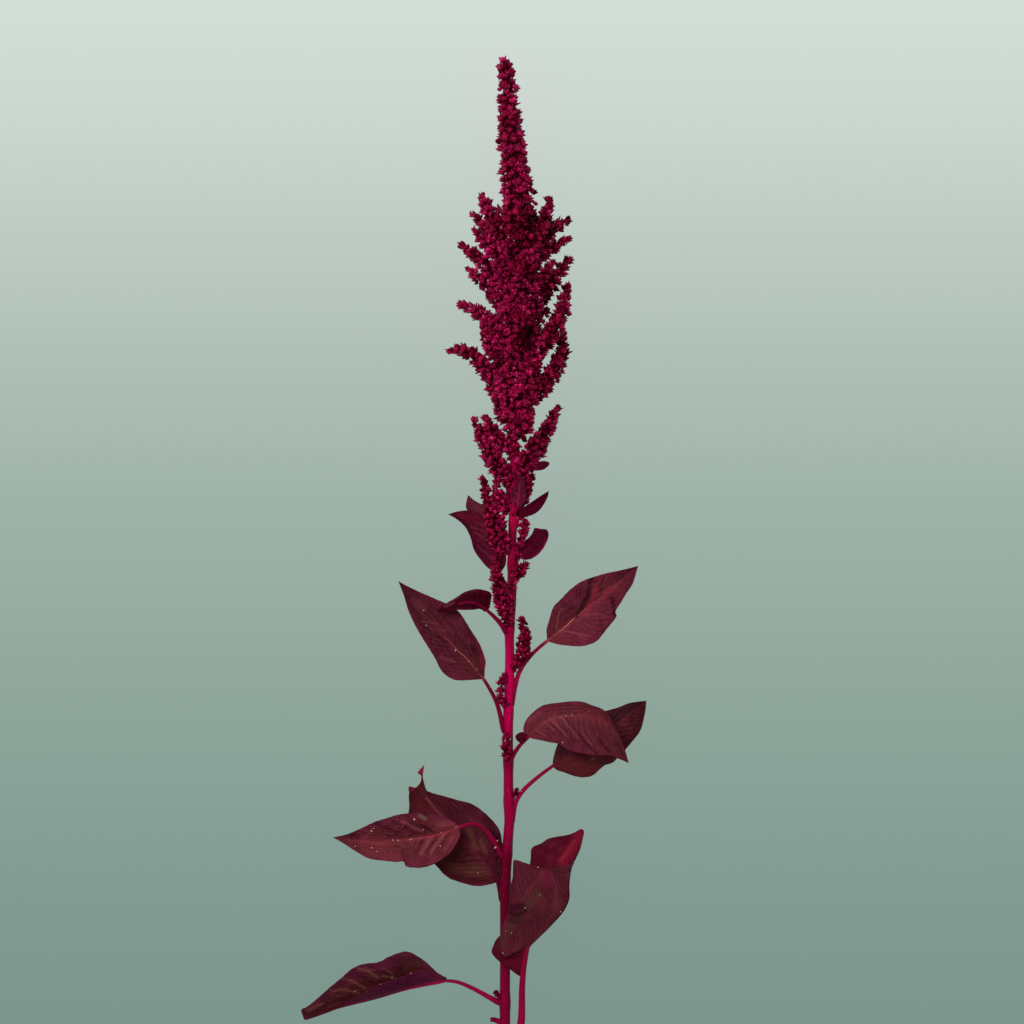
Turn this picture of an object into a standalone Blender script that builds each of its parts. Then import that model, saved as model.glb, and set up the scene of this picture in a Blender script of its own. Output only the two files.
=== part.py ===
"""A cut stem of red amaranth lying on a surface: stalk, leaves, small spikes and seed head.

Points are in millimetres as (across, along, height). Along runs from the cut end to the tip,
across is positive to the right seen from above, and height is above the surface.
"""

import math
import random

import bmesh
import bpy
import numpy as np

MM = 0.001
ORIGIN = (-26.65, 352.1, 0.0)  # the point on the surface that becomes the origin

# Stalk: centre line seen from above, its height, and its radius, each against the distance along
STEM_ACROSS = [
    (0, -4.5), (31, -4.9), (64, -4.9), (118, -4.9), (148, -3.5), (169, -1.8), (193, -2.5),
    (244, -2.5), (286, -1.5), (302, -1.9), (323, -0.1), (353, -0.1), (374, 0.5), (388, 0.8),
    (437, 1.5), (465, 2.8), (535, 4.9), (590, 5.5), (605, 5.0), (633, 0.9), (668, -2.1),
    (696, -4.3), (704, -5.6),
]
STEM_HEIGHT = [(0, 3.7), (100, 8.5), (200, 14.5), (300, 20.5), (400, 26.0), (440, 27.0), (480, 26.8),
               (520, 25.5), (560, 24.0), (600, 22.5), (640, 21.0), (704, 18.0)]
STEM_RADIUS = [(0, 3.6), (130, 3.5), (250, 3.3), (300, 3.1), (370, 2.8), (405, 2.6), (440, 2.4),
               (704, 2.0)]
STEM_END = 386.0
STEM_SIDES = 10
STEM_RINGS = 38
STEM_RIDGE = 0.05  # share of the radius that the ridges stand up
LEAF_JOINTS = [14, 42, 123, 147, 183, 212, 246, 268, 304, 334, 350, 379]
JOINT_SWELL = 0.5
JOINT_LENGTH = 5.0

# Leaves
BLADE = 0.7  # thickness
PETIOLE_RADIUS = 1.65
SEAT_GAP = 0.35
BLADE_RINGS = 13
PETIOLE_RINGS = 6
SMALL_BLADE_RINGS = 8
SMALL_PETIOLE_RINGS = 4

# Florets: pitch along a spike, how far a floret stands out and leans forward
HEAD_START = 386.4
HEAD_TIP = 698.56
HEAD_SIDES = 12
HEAD_PITCH = 4.9
SPIKE_SIDES = 8
FILL_SIDES = 6
SPIKE_PITCH = 4.6
FLORET_SINK = 0.72  # radius between florets, as a share of the radius over them
FLORET_LEAN = 1.9
SUNK_ROOT = 0.75  # root radius of a side spike as a share of its full radius
SEATED_ROOT = 0.36
TIP_TAPER = 0.38
SURFACE_CLEAR = 0.02
SPIKE_CLEAR = 0.12

# Thickness of the flowering axis itself, from bare rachis to crowded core to terminal spike
HEAD_RADIUS = [(386, 2.6), (405, 2.6), (418, 4.5), (430, 7.0), (450, 9.5), (475, 14.0), (505, 18.0),
               (575, 18.0), (598, 14.5), (612, 12.0), (640, 10.2), (670, 8.8), (690, 7.2), (703, 4.6)]

# Side spikes that make the outline: across, along and rise above the axis from root to tip, radius
OUTLINE_SPIKES = [
    ([(0, 391, 0), (-7, 398, 1), (-12, 409, 3)], 5.6),
    ([(2, 390, 0), (8, 398, 1), (11, 408, 2)], 5.2),
    ([(1, 409, 1), (-13, 418, 4), (-21, 434, 7), (-25, 450, 8)], 7.0),
    ([(1, 414, 2), (-8, 428, 6), (-13, 440, 11), (-16.5, 451, 14)], 6.0),
    ([(0, 440, 0), (-9, 452, -2), (-16, 466, -3)], 6.0),
    ([(0, 455, 0), (-12, 467, -2), (-22, 479, -3)], 6.4),
    ([(2, 470, 1), (-12, 481, 2), (-26, 493, 3), (-35, 498.5, 2), (-44.5, 497.5, -1)], 5.4),
    ([(3, 500, 0), (-12, 509, -3), (-26, 521, -6), (-36.5, 531.5, -8)], 5.4),
    ([(4, 515, 1), (-12, 529, 3), (-23, 544, 7), (-31, 555.5, 9)], 5.4),
    ([(4, 535, 0), (-12, 548, -1), (-25, 561, -2), (-35, 572.5, -3)], 5.4),
    ([(4, 558, 1), (-10, 568, 4), (-20, 577, 7), (-27, 584, 9)], 5.2),
    ([(4, 566, 0), (-9, 577, -3), (-20, 587, -6), (-28, 595, -8)], 5.2),
    ([(4, 578, 0), (-7, 588, 2), (-13.5, 598, 4), (-18.6, 608.5, 6)], 5.2),
    ([(4, 409, 0), (13, 421, -1), (22, 437, -2), (31.5, 459.5, -3)], 5.8),
    ([(3, 420, 1), (11, 431, 5), (17, 442, 8)], 5.4),
    ([(5, 455, 0), (18, 467, -2), (30, 481, -4), (35.5, 497, -4), (34.5, 511, -3)], 6.6),
    ([(6, 485, 1), (17, 498, 3), (27, 512, 5), (34.5, 527, 7), (38, 545, 8)], 6.0),
    ([(6, 520, 0), (18, 535, -2), (30, 550, -4), (40, 562, -6)], 5.8),
    ([(6, 548, 1), (18, 560, 3), (29, 569, 5), (39, 576, 7)], 5.2),
    ([(6, 558, 0), (18, 572, -3), (29, 582.5, -6), (39.5, 591, -8)], 5.4),
    ([(6, 572, 0), (14, 584, 2), (20, 594, 4), (25.4, 604.5, 6)], 5.2),
]

# Side spikes that fill the front and the back, set round the axis by the golden angle
FILL_COUNT = 34
FILL_FROM = 436.0
FILL_TO = 590.0
FILL_LENGTH = (28.0, 38.0)
FILL_REACH = 0.78  # share of the length that goes outwards, the rest goes forward
FILL_RADIUS = 5.6
GOLDEN_ANGLE = math.radians(137.508)
SEED = 7

# Flower spikes and buds in the leaf joints: middle points from root to tip, radius, sides
AXILLARY_SPIKES = {
    "axillary_spike_left_top": ([(-4.1, 357, 26), (-11, 366, 29), (-13.5, 383, 32), (-17.5, 397, 34),
                                 (-20.5, 411.5, 35)], 5.6, 8),
    "axillary_spike_left_middle": ([(-3.2, 309, 24.4), (-7.4, 318, 28.5), (-10.8, 332, 30), (-12.6, 346, 29),
                                    (-13, 357, 28)], 5.8, 8),
    "axillary_spike_left_inner": ([(-2.6, 361, 28.6), (-4.4, 366, 31), (-5.2, 373, 33.4),
                                   (-4.6, 379.5, 34.6)], 2.4, 6),
    "axillary_spike_left_low": ([(-5.6, 250, 21), (-8.2, 257, 23), (-7.6, 264, 24), (-4.9, 274.5, 25)],
                                2.5, 6),
    "axillary_cluster_front": ([(-3.2, 216, 20.9), (-4.2, 222, 23.5), (-5.8, 233.5, 25)], 3.6, 8),
    "axillary_spike_right_top": ([(3.9, 347, 28), (6.5, 357, 31), (9, 367, 33), (11.8, 381, 34)], 5.0, 8),
    "axillary_cluster_right": ([(3.4, 333.5, 20), (8, 341, 18.6), (9.6, 350.5, 16)], 5.0, 8),
    "axillary_spike_right_middle": ([(1.4, 276, 23.2), (6, 283, 25.5), (8.8, 294, 27), (9.2, 304, 27),
                                     (7.2, 313.5, 26)], 4.9, 8),
    "axil_bud_right": ([(1.5, 187.5, 15.5), (3, 190, 16.2), (3.6, 194, 16.8)], 1.5, 6),
    "axil_bud_left": ([(-8.9, 45.8, 6.6), (-10.4, 48, 7), (-10.6, 52, 7.6)], 1.3, 6),
}

# Each leaf: petiole and midrib from the stalk out, then the two edges of the blade
LEAVES = {
    "leaf_bottom_left": dict(
        petiole=[(-8.8, 42, 6.0), (-16, 46, 7.2), (-28, 52.5, 7.0), (-38, 56.5, 5.0), (-46, 57.5, 3.6)],
        midrib=[(-46, 57.5, 3.6), (-73, 51.5, 1.2), (-96.5, 44.5, 1.0), (-116.5, 39.5, 2.2),
                (-132, 35, 4.4), (-147.5, 31.5, 6.5)],
        left=[(-46, 59.5, 5), (-55.5, 64.5, 11), (-66, 65, 16), (-78, 60.5, 18), (-94.5, 55, 16),
              (-105.5, 48.5, 11), (-121, 39, 6.5), (-147.5, 31.5, 6.5)],
        right=[(-46, 60, 3.6), (-50.5, 61.5, 4), (-62, 72, 6), (-72, 77.5, 9), (-84, 75.5, 10),
               (-103, 69.5, 9), (-121, 60, 7), (-136.5, 47, 6), (-145.5, 36.5, 6), (-147.5, 31.5, 6.5)]),
    "leaf_left_front": dict(
        petiole=[(-6.6, 147, 13.5), (-12.3, 155, 18), (-19.9, 165, 26), (-27, 168.5, 31),
                 (-37.5, 166, 32)],
        midrib=[(-37.5, 166, 32), (-49.5, 161.5, 33), (-61, 159, 34), (-79, 157, 34), (-96.5, 156, 32.5),
                (-114, 157.5, 29), (-125.3, 158.5, 25)],
        left=[(-36.5, 163, 32), (-37, 158.5, 33), (-42.3, 149, 35), (-49.5, 143.3, 36.5),
              (-57, 139.2, 37.5), (-66, 138.3, 38), (-79, 141, 38), (-99, 144, 36), (-108.3, 148.5, 33),
              (-117.7, 154.5, 29), (-125.3, 158.5, 25)],
        right=[(-38, 168, 32), (-47, 173, 34), (-57.6, 175.7, 36), (-73, 176, 37), (-92.5, 171, 35),
               (-104.7, 165.7, 32), (-114, 161.4, 29), (-125.3, 158.5, 25)]),
    "leaf_left_back": dict(
        petiole=[(-10.4, 122, 8.6), (-12.2, 128, 8.6), (-13.6, 136, 8.4), (-15, 141.5, 8.2)],
        midrib=[(-15, 141.5, 8.2), (-24, 146.5, 8), (-36.4, 155.5, 7), (-53, 176.5, 8.5), (-61, 192, 10),
                (-63, 200, 10.5), (-62, 208.6, 11)],
        left=[(-13.2, 136, 8), (-13.5, 130, 7), (-18, 125.6, 5.5), (-27, 124, 3), (-37, 125.6, 1.2),
              (-47, 131, 0.75), (-56, 140, 0.75), (-68, 154, 2), (-72.8, 168, 4), (-72.2, 180, 6),
              (-72, 193.9, 8), (-66, 195.5, 9.5), (-64.2, 201.5, 10.3), (-62, 208.6, 11)],
        right=[(-12.6, 143.5, 9), (-9.6, 152, 9.5), (-8.6, 160.3, 10.5), (-12.6, 168.7, 12),
               (-20.3, 177, 13), (-29, 181.3, 14), (-37.8, 184, 14), (-50, 187.6, 12.5),
               (-58.6, 190.5, 11.5), (-60.6, 197, 11), (-61, 203, 11), (-62, 208.6, 11)]),
    "leaf_right_bottom": dict(
        petiole=[(-0.6, 14, 4.4), (3.2, 18, 5), (6.2, 27, 6.2), (6.9, 38, 8), (6.9, 50, 10.5),
                 (7.2, 60, 13)],
        midrib=[(7.2, 60, 13), (8.5, 71, 16), (12, 81, 19), (23, 91, 24), (33.6, 104, 28),
                (39.7, 115, 30.5), (42.2, 128.5, 30.5), (44, 140, 28), (47, 150, 24.5),
                (50.8, 162.4, 20)],
        left=[(5.4, 60.4, 13.4), (-1.4, 65, 14), (-8.4, 70, 14.4), (-13.6, 76, 14.6), (-12.6, 83, 14.8),
              (-9, 93, 15), (-4.4, 111, 15.5), (4, 132, 17), (13.3, 149.5, 18), (21.7, 154, 18.5),
              (30.8, 158.9, 18.5), (42, 161.5, 18.5), (50.8, 162.4, 20)],
        right=[(7.6, 62, 15), (5, 71, 20), (-4, 72.5, 24), (-8.6, 83, 28), (-7.7, 93.8, 31),
               (-4.2, 103, 34), (-1.4, 118, 37), (0.2, 132, 38), (1.2, 142.6, 38), (14, 142, 37),
               (27, 140.6, 35), (38, 139.8, 32), (46, 148, 27), (50.8, 162.4, 20)]),
    "leaf_right_middle_front": dict(
        petiole=[(0.4, 211, 18.0), (4.8, 218, 23), (8.4, 224.5, 27.5), (9.8, 231, 30)],
        midrib=[(9.8, 231, 30), (20.7, 237.7, 34), (29, 242, 37), (38.8, 243.9, 38), (56.7, 243.6, 37),
                (66, 239, 34), (75, 228.5, 30), (81.6, 210.7, 24)],
        left=[(8.4, 231.3, 30), (8, 236, 29), (11, 242.2, 30), (18.2, 249.2, 32), (26.6, 252.2, 33),
              (46, 254, 33), (55, 251.5, 32), (65.3, 246.8, 31), (72.8, 234.5, 29), (78.4, 221.2, 27),
              (81.6, 210.7, 24)],
        right=[(11.2, 229.6, 30), (14, 228, 31), (23, 226.2, 34), (32.8, 224, 36), (40, 219.4, 36.5),
               (48.3, 217.6, 36), (58, 216, 34.5), (67.7, 216.2, 32), (73.7, 214.2, 28.5),
               (81.6, 210.7, 24)]),
    "leaf_right_middle_back": dict(
        petiole=[(1.55, 183, 13.0), (6.4, 189.5, 13.4), (11.9, 195.3, 13.4), (20.3, 202.3, 12.5),
                 (29, 208.6, 10.6)],
        midrib=[(29, 208.6, 10.6), (37, 215, 10.5), (51, 223.3, 11), (68.6, 235.2, 12), (82.6, 245.7, 11),
                (94.2, 254, 8)],
        left=[(28.6, 210.4, 11), (29.1, 214.5, 12), (32.2, 224, 14), (40.6, 237.3, 16), (54.6, 244.3, 17),
              (65, 246.8, 17), (73.5, 249.2, 15.5), (83.3, 252.7, 12), (94.2, 254, 8)],
        right=[(29.6, 207, 9.5), (32, 205.2, 8), (37.6, 203.4, 4), (44, 201, 0.8), (50.5, 200.2, 0.3),
               (57.5, 202.2, 0.5), (65, 208.7, 3.2), (71.4, 211.2, 5), (79.8, 220.2, 7),
               (89.4, 232.3, 8), (93, 244.3, 8), (94.2, 254, 8)]),
    "leaf_right_upper": dict(
        petiole=[(1.95, 267, 18.3), (7.8, 275.6, 18.8), (16.1, 286.4, 22), (25.2, 296, 26)],
        midrib=[(25.2, 296, 26), (38.5, 307.3, 28.5), (44, 312.5, 29.5), (60, 325.5, 30),
                (74.2, 337.4, 28), (88.2, 348.6, 24)],
        left=[(24.6, 298, 26), (24.2, 303.8, 27.5), (26, 311, 29), (28.7, 319.2, 31), (33, 324.4, 32),
              (44, 335, 33), (51, 338.8, 32.5), (61.6, 342.4, 31), (70, 344.4, 29.5), (79.8, 346.5, 27),
              (88.2, 348.6, 24)],
        right=[(26.6, 295.4, 26), (35, 293.3, 29), (48.3, 292.6, 32), (56, 294.4, 32.5),
               (61.5, 298.5, 32.5), (70, 309.4, 32), (75, 319.2, 31), (79.8, 328.3, 29.5),
               (84.7, 337, 27), (88.2, 348.6, 24)]),
    "leaf_left_upper": dict(
        petiole=[(-6.25, 245, 17.6), (-12.6, 254.5, 18), (-18.2, 262.5, 18.6), (-21.8, 269.8, 18.4)],
        midrib=[(-21.8, 269.8, 18.4), (-28.4, 279.3, 18), (-33.6, 285.6, 17.2), (-39.2, 290.6, 16),
                (-53.9, 305.9, 11.5), (-67.9, 322, 5.6), (-79.8, 337.8, 0.45)],
        left=[(-24, 269.4, 18.6), (-31, 268.8, 19.5), (-40, 268.8, 20), (-45.8, 271.6, 20),
              (-49.9, 276.2, 19.6), (-54.2, 284.2, 18), (-59, 292.3, 16), (-63.4, 299, 14),
              (-71.4, 314, 9), (-76.3, 329, 4), (-79.8, 337.8, 0.45)],
        right=[(-20.4, 271, 18.8), (-18.6, 276, 20.5), (-18.6, 282, 21.5), (-22.4, 293.3, 22),
               (-31.5, 308, 20), (-38, 317.5, 17.5), (-46.6, 322.5, 15), (-55.3, 326.2, 12),
               (-64, 330, 8.5), (-73.5, 334.4, 3.6), (-79.8, 337.8, 0.45)]),
    "leaf_left_small_folded": dict(
        petiole=[(-5.5, 302.5, 22.6), (-9.5, 307.5, 24.6), (-13.4, 313, 27), (-16.1, 317.8, 28.6)],
        midrib=[(-16.1, 317.8, 28.6), (-20.5, 321.8, 31), (-26, 323.2, 32), (-33, 323, 32),
                (-39.9, 322, 30.5), (-45.6, 320.8, 28)],
        left=[(-17, 317.4, 29.5), (-21, 318.4, 32.5), (-28, 318, 35), (-36, 318, 34.5), (-41, 319.2, 32),
              (-45.6, 320.8, 28)],
        right=[(-15.8, 319.4, 28.5), (-14.9, 324, 28), (-14.6, 329, 27.4), (-19, 331.6, 27),
               (-26.3, 332.2, 26.6), (-33.6, 330, 27), (-39.2, 326, 27.6), (-45.6, 320.8, 28)]),
    "leaf_left_bract": dict(
        petiole=[(-3.3, 333.5, 19.8), (-6.2, 338, 18.6), (-10.6, 344.6, 18)],
        midrib=[(-10.6, 344.6, 18), (-15, 354, 16.8), (-20.5, 366, 15.4), (-28, 377, 14),
                (-37, 383.5, 12.6), (-44.8, 384.7, 11)],
        left=[(-11.8, 344.4, 17.6), (-16, 346.5, 16.4), (-21, 351.8, 15), (-26.6, 359.8, 13.6),
              (-28.7, 367.5, 13), (-32.5, 375.6, 12.4), (-39, 381.6, 11.8), (-44.8, 384.7, 11)],
        right=[(-9.8, 346, 18), (-8.8, 353, 18), (-11.5, 366, 17.4), (-17.5, 378.5, 16.6),
               (-24, 385.6, 15.6), (-31, 387.4, 14), (-38, 386.8, 12.4), (-44.8, 384.7, 11)]),
    "leaf_left_bract_back": dict(
        petiole=[(-2.8, 366, 20.6), (-5.6, 370, 15), (-9, 374.5, 11.6)],
        midrib=[(-9, 374.5, 11.6), (-16, 381.5, 9.2), (-24, 390, 7.4), (-30.8, 398.3, 6)],
        left=[(-10.2, 374.2, 11.2), (-18, 377, 8.6), (-27, 383, 6.8), (-32, 389, 6), (-31.8, 394, 5.8),
              (-30.8, 398.3, 6)],
        right=[(-8.6, 376, 11.8), (-10.5, 383, 10.4), (-18.2, 390, 8.6), (-26, 394.2, 7.2),
               (-30.8, 398.3, 6)]),
    "leaf_right_bract": dict(
        petiole=[(4.1, 377.5, 25.4), (5.4, 380.4, 26.6), (7.5, 384, 28)],
        midrib=[(7.5, 384, 28), (12, 388, 29.6), (18.5, 394, 30.5), (22.5, 398, 30), (25.7, 401.1, 29)],
        left=[(7.3, 385.6, 28), (9.8, 390.8, 29.4), (14, 393.8, 30.6), (21, 398.6, 30.4),
              (25.7, 401.1, 29)],
        right=[(8.8, 384, 28), (13, 384.6, 30), (16.5, 386.2, 31), (20, 389.6, 31), (25, 396.2, 30),
               (25.7, 401.1, 29)]),
    "leaf_right_bract_blunt": dict(
        petiole=[(3.2, 351.5, 23.2), (5.2, 354, 22.8), (7.4, 357, 22)],
        midrib=[(7.4, 357, 22), (12.5, 361.5, 20.6), (17.5, 366, 20), (22, 371, 20), (24.6, 374, 20)],
        left=[(6.6, 358.4, 22), (8.4, 363.5, 21.4), (13, 370.6, 21), (18, 375.2, 21), (22, 376, 20.6),
              (24.6, 374, 20)],
        right=[(8.6, 355.6, 21.6), (13, 352.6, 20.4), (16.6, 355, 19.6), (20, 359, 19), (24, 366, 19),
               (25.6, 370.6, 19.6), (24.6, 374, 20)]),
    "leaf_front_bract": dict(
        petiole=[(0.8, 386, 28.6), (1.1, 388.6, 29.8), (1.6, 391.4, 30.8)],
        midrib=[(1.6, 391.4, 30.8), (3, 397.5, 32.4), (4.4, 404, 34.2), (5.3, 411.6, 36)],
        left=[(0.4, 391.8, 31), (0.2, 397, 32.8), (2.4, 405, 34.8), (5.3, 411.6, 36)],
        right=[(2.9, 391.6, 31), (6.4, 396.6, 32.6), (7.6, 402.4, 34.2), (6.8, 407.8, 35.2),
               (5.3, 411.6, 36)]),
}
SMALL_LEAVES = ("bract", "small")

# Edge waves of a blade: height and count over its length
WAVE_HEIGHT = 0.9
WAVE_COUNT = 2.5
CAMBER = 0.045  # swell of each half blade, as a share of its width

COLOURS = {
    "stalk": ((0.300, 0.002, 0.055), 0.45),
    "leaf": ((0.085, 0.014, 0.022), 0.65),
    "floret": ((0.170, 0.003, 0.030), 0.60),
}


def clear_scene():
    for obj in list(bpy.data.objects):
        bpy.data.objects.remove(obj, do_unlink=True)


def material(name):
    found = bpy.data.materials.get(name)
    if found:
        return found
    made = bpy.data.materials.new(name)
    made.use_nodes = True
    colour, roughness = COLOURS[name]
    shader = made.node_tree.nodes["Principled BSDF"]
    shader.inputs["Base Color"].default_value = (*colour, 1.0)
    shader.inputs["Roughness"].default_value = roughness
    shader.inputs["Metallic"].default_value = 0.0
    return made


def table(rows, at):
    """A value read from (distance, value) rows, along straight lines between them."""
    xs = np.array([row[0] for row in rows], float)
    ys = np.array([row[1] for row in rows], float)
    return np.interp(at, xs, ys)


def spline(points, count):
    """count points, evenly spaced, on a Catmull-Rom curve through the given points."""
    pts = np.array(points, float)
    padded = np.vstack([2 * pts[0] - pts[1], pts, 2 * pts[-1] - pts[-2]])
    fine = []
    for i in range(1, len(padded) - 2):
        a, b, c, d = padded[i - 1 : i + 3]
        for t in np.linspace(0, 1, 16, endpoint=False):
            fine.append(0.5 * (2 * b + (c - a) * t + (2 * a - 5 * b + 4 * c - d) * t**2
                               + (3 * b - a - 3 * c + d) * t**3))
    fine = np.array(fine + [pts[-1]])
    reach = np.concatenate([[0], np.cumsum(np.linalg.norm(np.diff(fine, axis=0), axis=1))])
    wanted = np.linspace(0, reach[-1], count)
    return np.stack([np.interp(wanted, reach, fine[:, k]) for k in range(3)], axis=1)


def unit(v):
    return v / np.maximum(np.linalg.norm(v, axis=-1, keepdims=True), 1e-9)


def tangents(path):
    return unit(np.gradient(path, axis=0))


def carried_frames(path, first_up):
    """The tangent, up and side vectors along a path, turned as little as possible."""
    along = tangents(path)
    ups = []
    up = np.array(first_up, float)
    for t in along:
        up = unit(up - t * np.dot(up, t))
        ups.append(up)
    ups = np.array(ups)
    return along, ups, np.cross(along, ups)


def closed_mesh(rings):
    """Vertices and triangles of a tube through the rings, with flat ends."""
    sides = len(rings[0])
    points = [p for ring in rings for p in ring]
    faces = []
    for i in range(len(rings) - 1):
        for j in range(sides):
            a = i * sides + j
            b = i * sides + (j + 1) % sides
            faces.append((a, b, b + sides))
            faces.append((a, b + sides, a + sides))
    points += [np.mean(rings[0], axis=0), np.mean(rings[-1], axis=0)]
    start, end = len(points) - 2, len(points) - 1
    last = (len(rings) - 1) * sides
    for j in range(sides):
        after = (j + 1) % sides
        faces.append((start, after, j))
        faces.append((end, last + j, last + after))
    return np.array(points), faces


def add_solid(name, points, faces, finish):
    """One object in the scene, from points in millimetres; its faces are turned outwards."""
    mesh = bpy.data.meshes.new(name)
    placed = (np.array(points) - np.array(ORIGIN)) * MM
    mesh.from_pydata([tuple(p) for p in placed], [], [tuple(f) for f in faces])
    shaped = bmesh.new()
    shaped.from_mesh(mesh)
    bmesh.ops.recalc_face_normals(shaped, faces=shaped.faces)
    if shaped.calc_volume(signed=True) < 0:
        bmesh.ops.reverse_faces(shaped, faces=shaped.faces)
    shaped.to_mesh(mesh)
    shaped.free()
    obj = bpy.data.objects.new(name, mesh)
    obj.data.materials.append(material(finish))
    bpy.context.scene.collection.objects.link(obj)
    return obj


def stalk_point(along):
    return np.array([table(STEM_ACROSS, along), along, table(STEM_HEIGHT, along)])


def make_stem():
    """The stalk: a ridged tube with a swelling at each leaf joint."""
    rings = []
    for along in np.linspace(0, STEM_END, STEM_RINGS):
        swell = sum(math.exp(-((along - joint) / JOINT_LENGTH) ** 2) for joint in LEAF_JOINTS)
        radius = table(STEM_RADIUS, along) + JOINT_SWELL * min(swell, 1.0)
        centre = stalk_point(along)
        ring = []
        for j in range(STEM_SIDES):
            turn = 2 * math.pi * j / STEM_SIDES - math.pi / 2
            reach = radius * (1 + STEM_RIDGE * (0.5 if j % 2 == 0 else -0.5))
            ring.append(centre + reach * np.array([math.cos(turn), 0, math.sin(turn)]))
        rings.append(ring)
    points, faces = closed_mesh(rings)
    return add_solid("stem", points, faces, "stalk")


def stalk_seat(foot):
    """Where a petiole or spike meets the stalk, just clear of it, and the way it leaves."""
    centre = stalk_point(foot[1])
    out = foot - centre
    out[1] = 0
    out = unit(out)
    clear = table(STEM_RADIUS, foot[1]) * (1 + STEM_RIDGE / 2) + JOINT_SWELL + SEAT_GAP
    return centre + out * clear, out


def laid_flat(ring, seat, out):
    """The ring pressed onto the plane that touches the stalk at the seat."""
    return [point - out * np.dot(point - seat, out) for point in ring]


def petiole_rings(leaf, count, blade_up):
    """Rings of ten corners from the stalk to the blade, the widest at the foot."""
    path = spline(leaf["petiole"], count + 1)
    seat, out = stalk_seat(path[0])
    path[0] = seat
    _, ups, sides = carried_frames(path[::-1], blade_up)
    ups, sides = ups[::-1], -sides[::-1]
    rings = []
    for k in range(count):
        radius = PETIOLE_RADIUS * leaf.get("scale", 1.0) * (1.25 - 0.35 * k / count)
        ring = []
        for j in range(10):
            turn = math.radians(162 - 36 * j)
            ring.append(path[k] + radius * (math.cos(turn) * sides[k] + math.sin(turn) * ups[k]))
        rings.append(ring)
    rings[0] = laid_flat(rings[0], seat, out)
    return rings


def blade_grid(leaf, stations):
    """Middle surface of the blade: for each station five points from the left to the right edge."""
    middle = spline(leaf["midrib"], stations + 1)
    left = spline(leaf["left"], stations + 1)
    right = spline(leaf["right"], stations + 1)
    grid = np.zeros((stations + 1, 5, 3))
    for k in range(stations + 1):
        share = k / stations
        lift = WAVE_HEIGHT * leaf.get("scale", 1.0) * math.sin(math.pi * share)
        wave = lift * math.sin(2 * math.pi * WAVE_COUNT * share)
        edges = [left[k] + [0, 0, wave], right[k] + [0, 0, -wave]]
        edges = [np.maximum(edge, [-1e9, -1e9, BLADE / 2 + SURFACE_CLEAR]) for edge in edges]
        grid[k, 0], grid[k, 2], grid[k, 4] = edges[0], middle[k], edges[1]
        for column, edge in ((1, edges[0]), (3, edges[1])):
            width = np.linalg.norm(edge - middle[k])
            grid[k, column] = (middle[k] + edge) / 2 + [0, 0, CAMBER * width]
    return grid


def grid_normals(grid):
    """Upward normals of the upper face of the blade."""
    down = np.gradient(grid, axis=0)
    over = np.gradient(grid, axis=1)
    return unit(np.cross(over, down))


def leaf_rings(leaf, blade_rings, stalk_rings):
    stations = blade_rings
    grid = blade_grid(leaf, stations)
    normals = grid_normals(grid)
    rib = PETIOLE_RADIUS * leaf.get("scale", 1.0)
    rings = petiole_rings(leaf, stalk_rings, normals[1, 2])
    for k in range(1, stations):
        share = k / stations
        thick = np.full(5, BLADE / 2)
        under = thick.copy()
        under[2] += rib * (1 - share) * 0.8
        upper = [grid[k, j] + normals[k, j] * thick[j] for j in range(5)]
        lower = [grid[k, j] - normals[k, j] * under[j] for j in range(4, -1, -1)]
        rings.append(upper + lower)
    return rings, grid[-1, 2]


def leaf_faces(rings, tip):
    """A tube like closed_mesh's, with upper and lower faces split into the same triangles."""
    points = [p for ring in rings for p in ring]
    faces = []
    for i in range(len(rings) - 1):
        for j in range(10):
            a = i * 10 + j
            b = i * 10 + (j + 1) % 10
            if j < 5:
                faces += [(a, b, b + 10), (a, b + 10, a + 10)]
            else:
                faces += [(a, b, a + 10), (b, b + 10, a + 10)]
    points += [np.mean(rings[0], axis=0), tip]
    points = [np.maximum(point, [-1e9, -1e9, SURFACE_CLEAR]) for point in points]
    start, end = len(points) - 2, len(points) - 1
    last = (len(rings) - 1) * 10
    for j in range(10):
        after = (j + 1) % 10
        faces.append((start, after, j))
        faces.append((end, last + j, last + after))
    return points, faces


def make_leaf(name, leaf):
    small = any(word in name for word in SMALL_LEAVES)
    leaf = dict(leaf, scale=0.6 if small else 1.0)
    counts = (SMALL_BLADE_RINGS, SMALL_PETIOLE_RINGS) if small else (BLADE_RINGS, PETIOLE_RINGS)
    rings, tip = leaf_rings(leaf, *counts)
    points, faces = leaf_faces(rings, tip)
    return add_solid(name, points, faces, "leaf")


def floret_tube(path, radii, sides, first_up=(0, 0, 1), bare=0):
    """A tube whose corners stand out by turns, each as a pointed floret that leans forward."""
    along, ups, across = carried_frames(path, first_up)
    rings = []
    for i, centre in enumerate(path):
        ring = []
        for j in range(sides):
            stands = (i + j) % 2 == 0 and i >= bare
            turn = 2 * math.pi * j / sides
            reach = radii[i] * (1.0 if stands or i < bare else FLORET_SINK)
            lean = FLORET_LEAN * min(1.0, radii[i] / 4) if stands else 0.0
            out = math.cos(turn) * across[i] + math.sin(turn) * ups[i]
            ring.append(centre + reach * out + lean * along[i])
        rings.append(ring)
    tip = path[-1] + along[-1] * (radii[-1] + 1.0)
    return rings, tip


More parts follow.
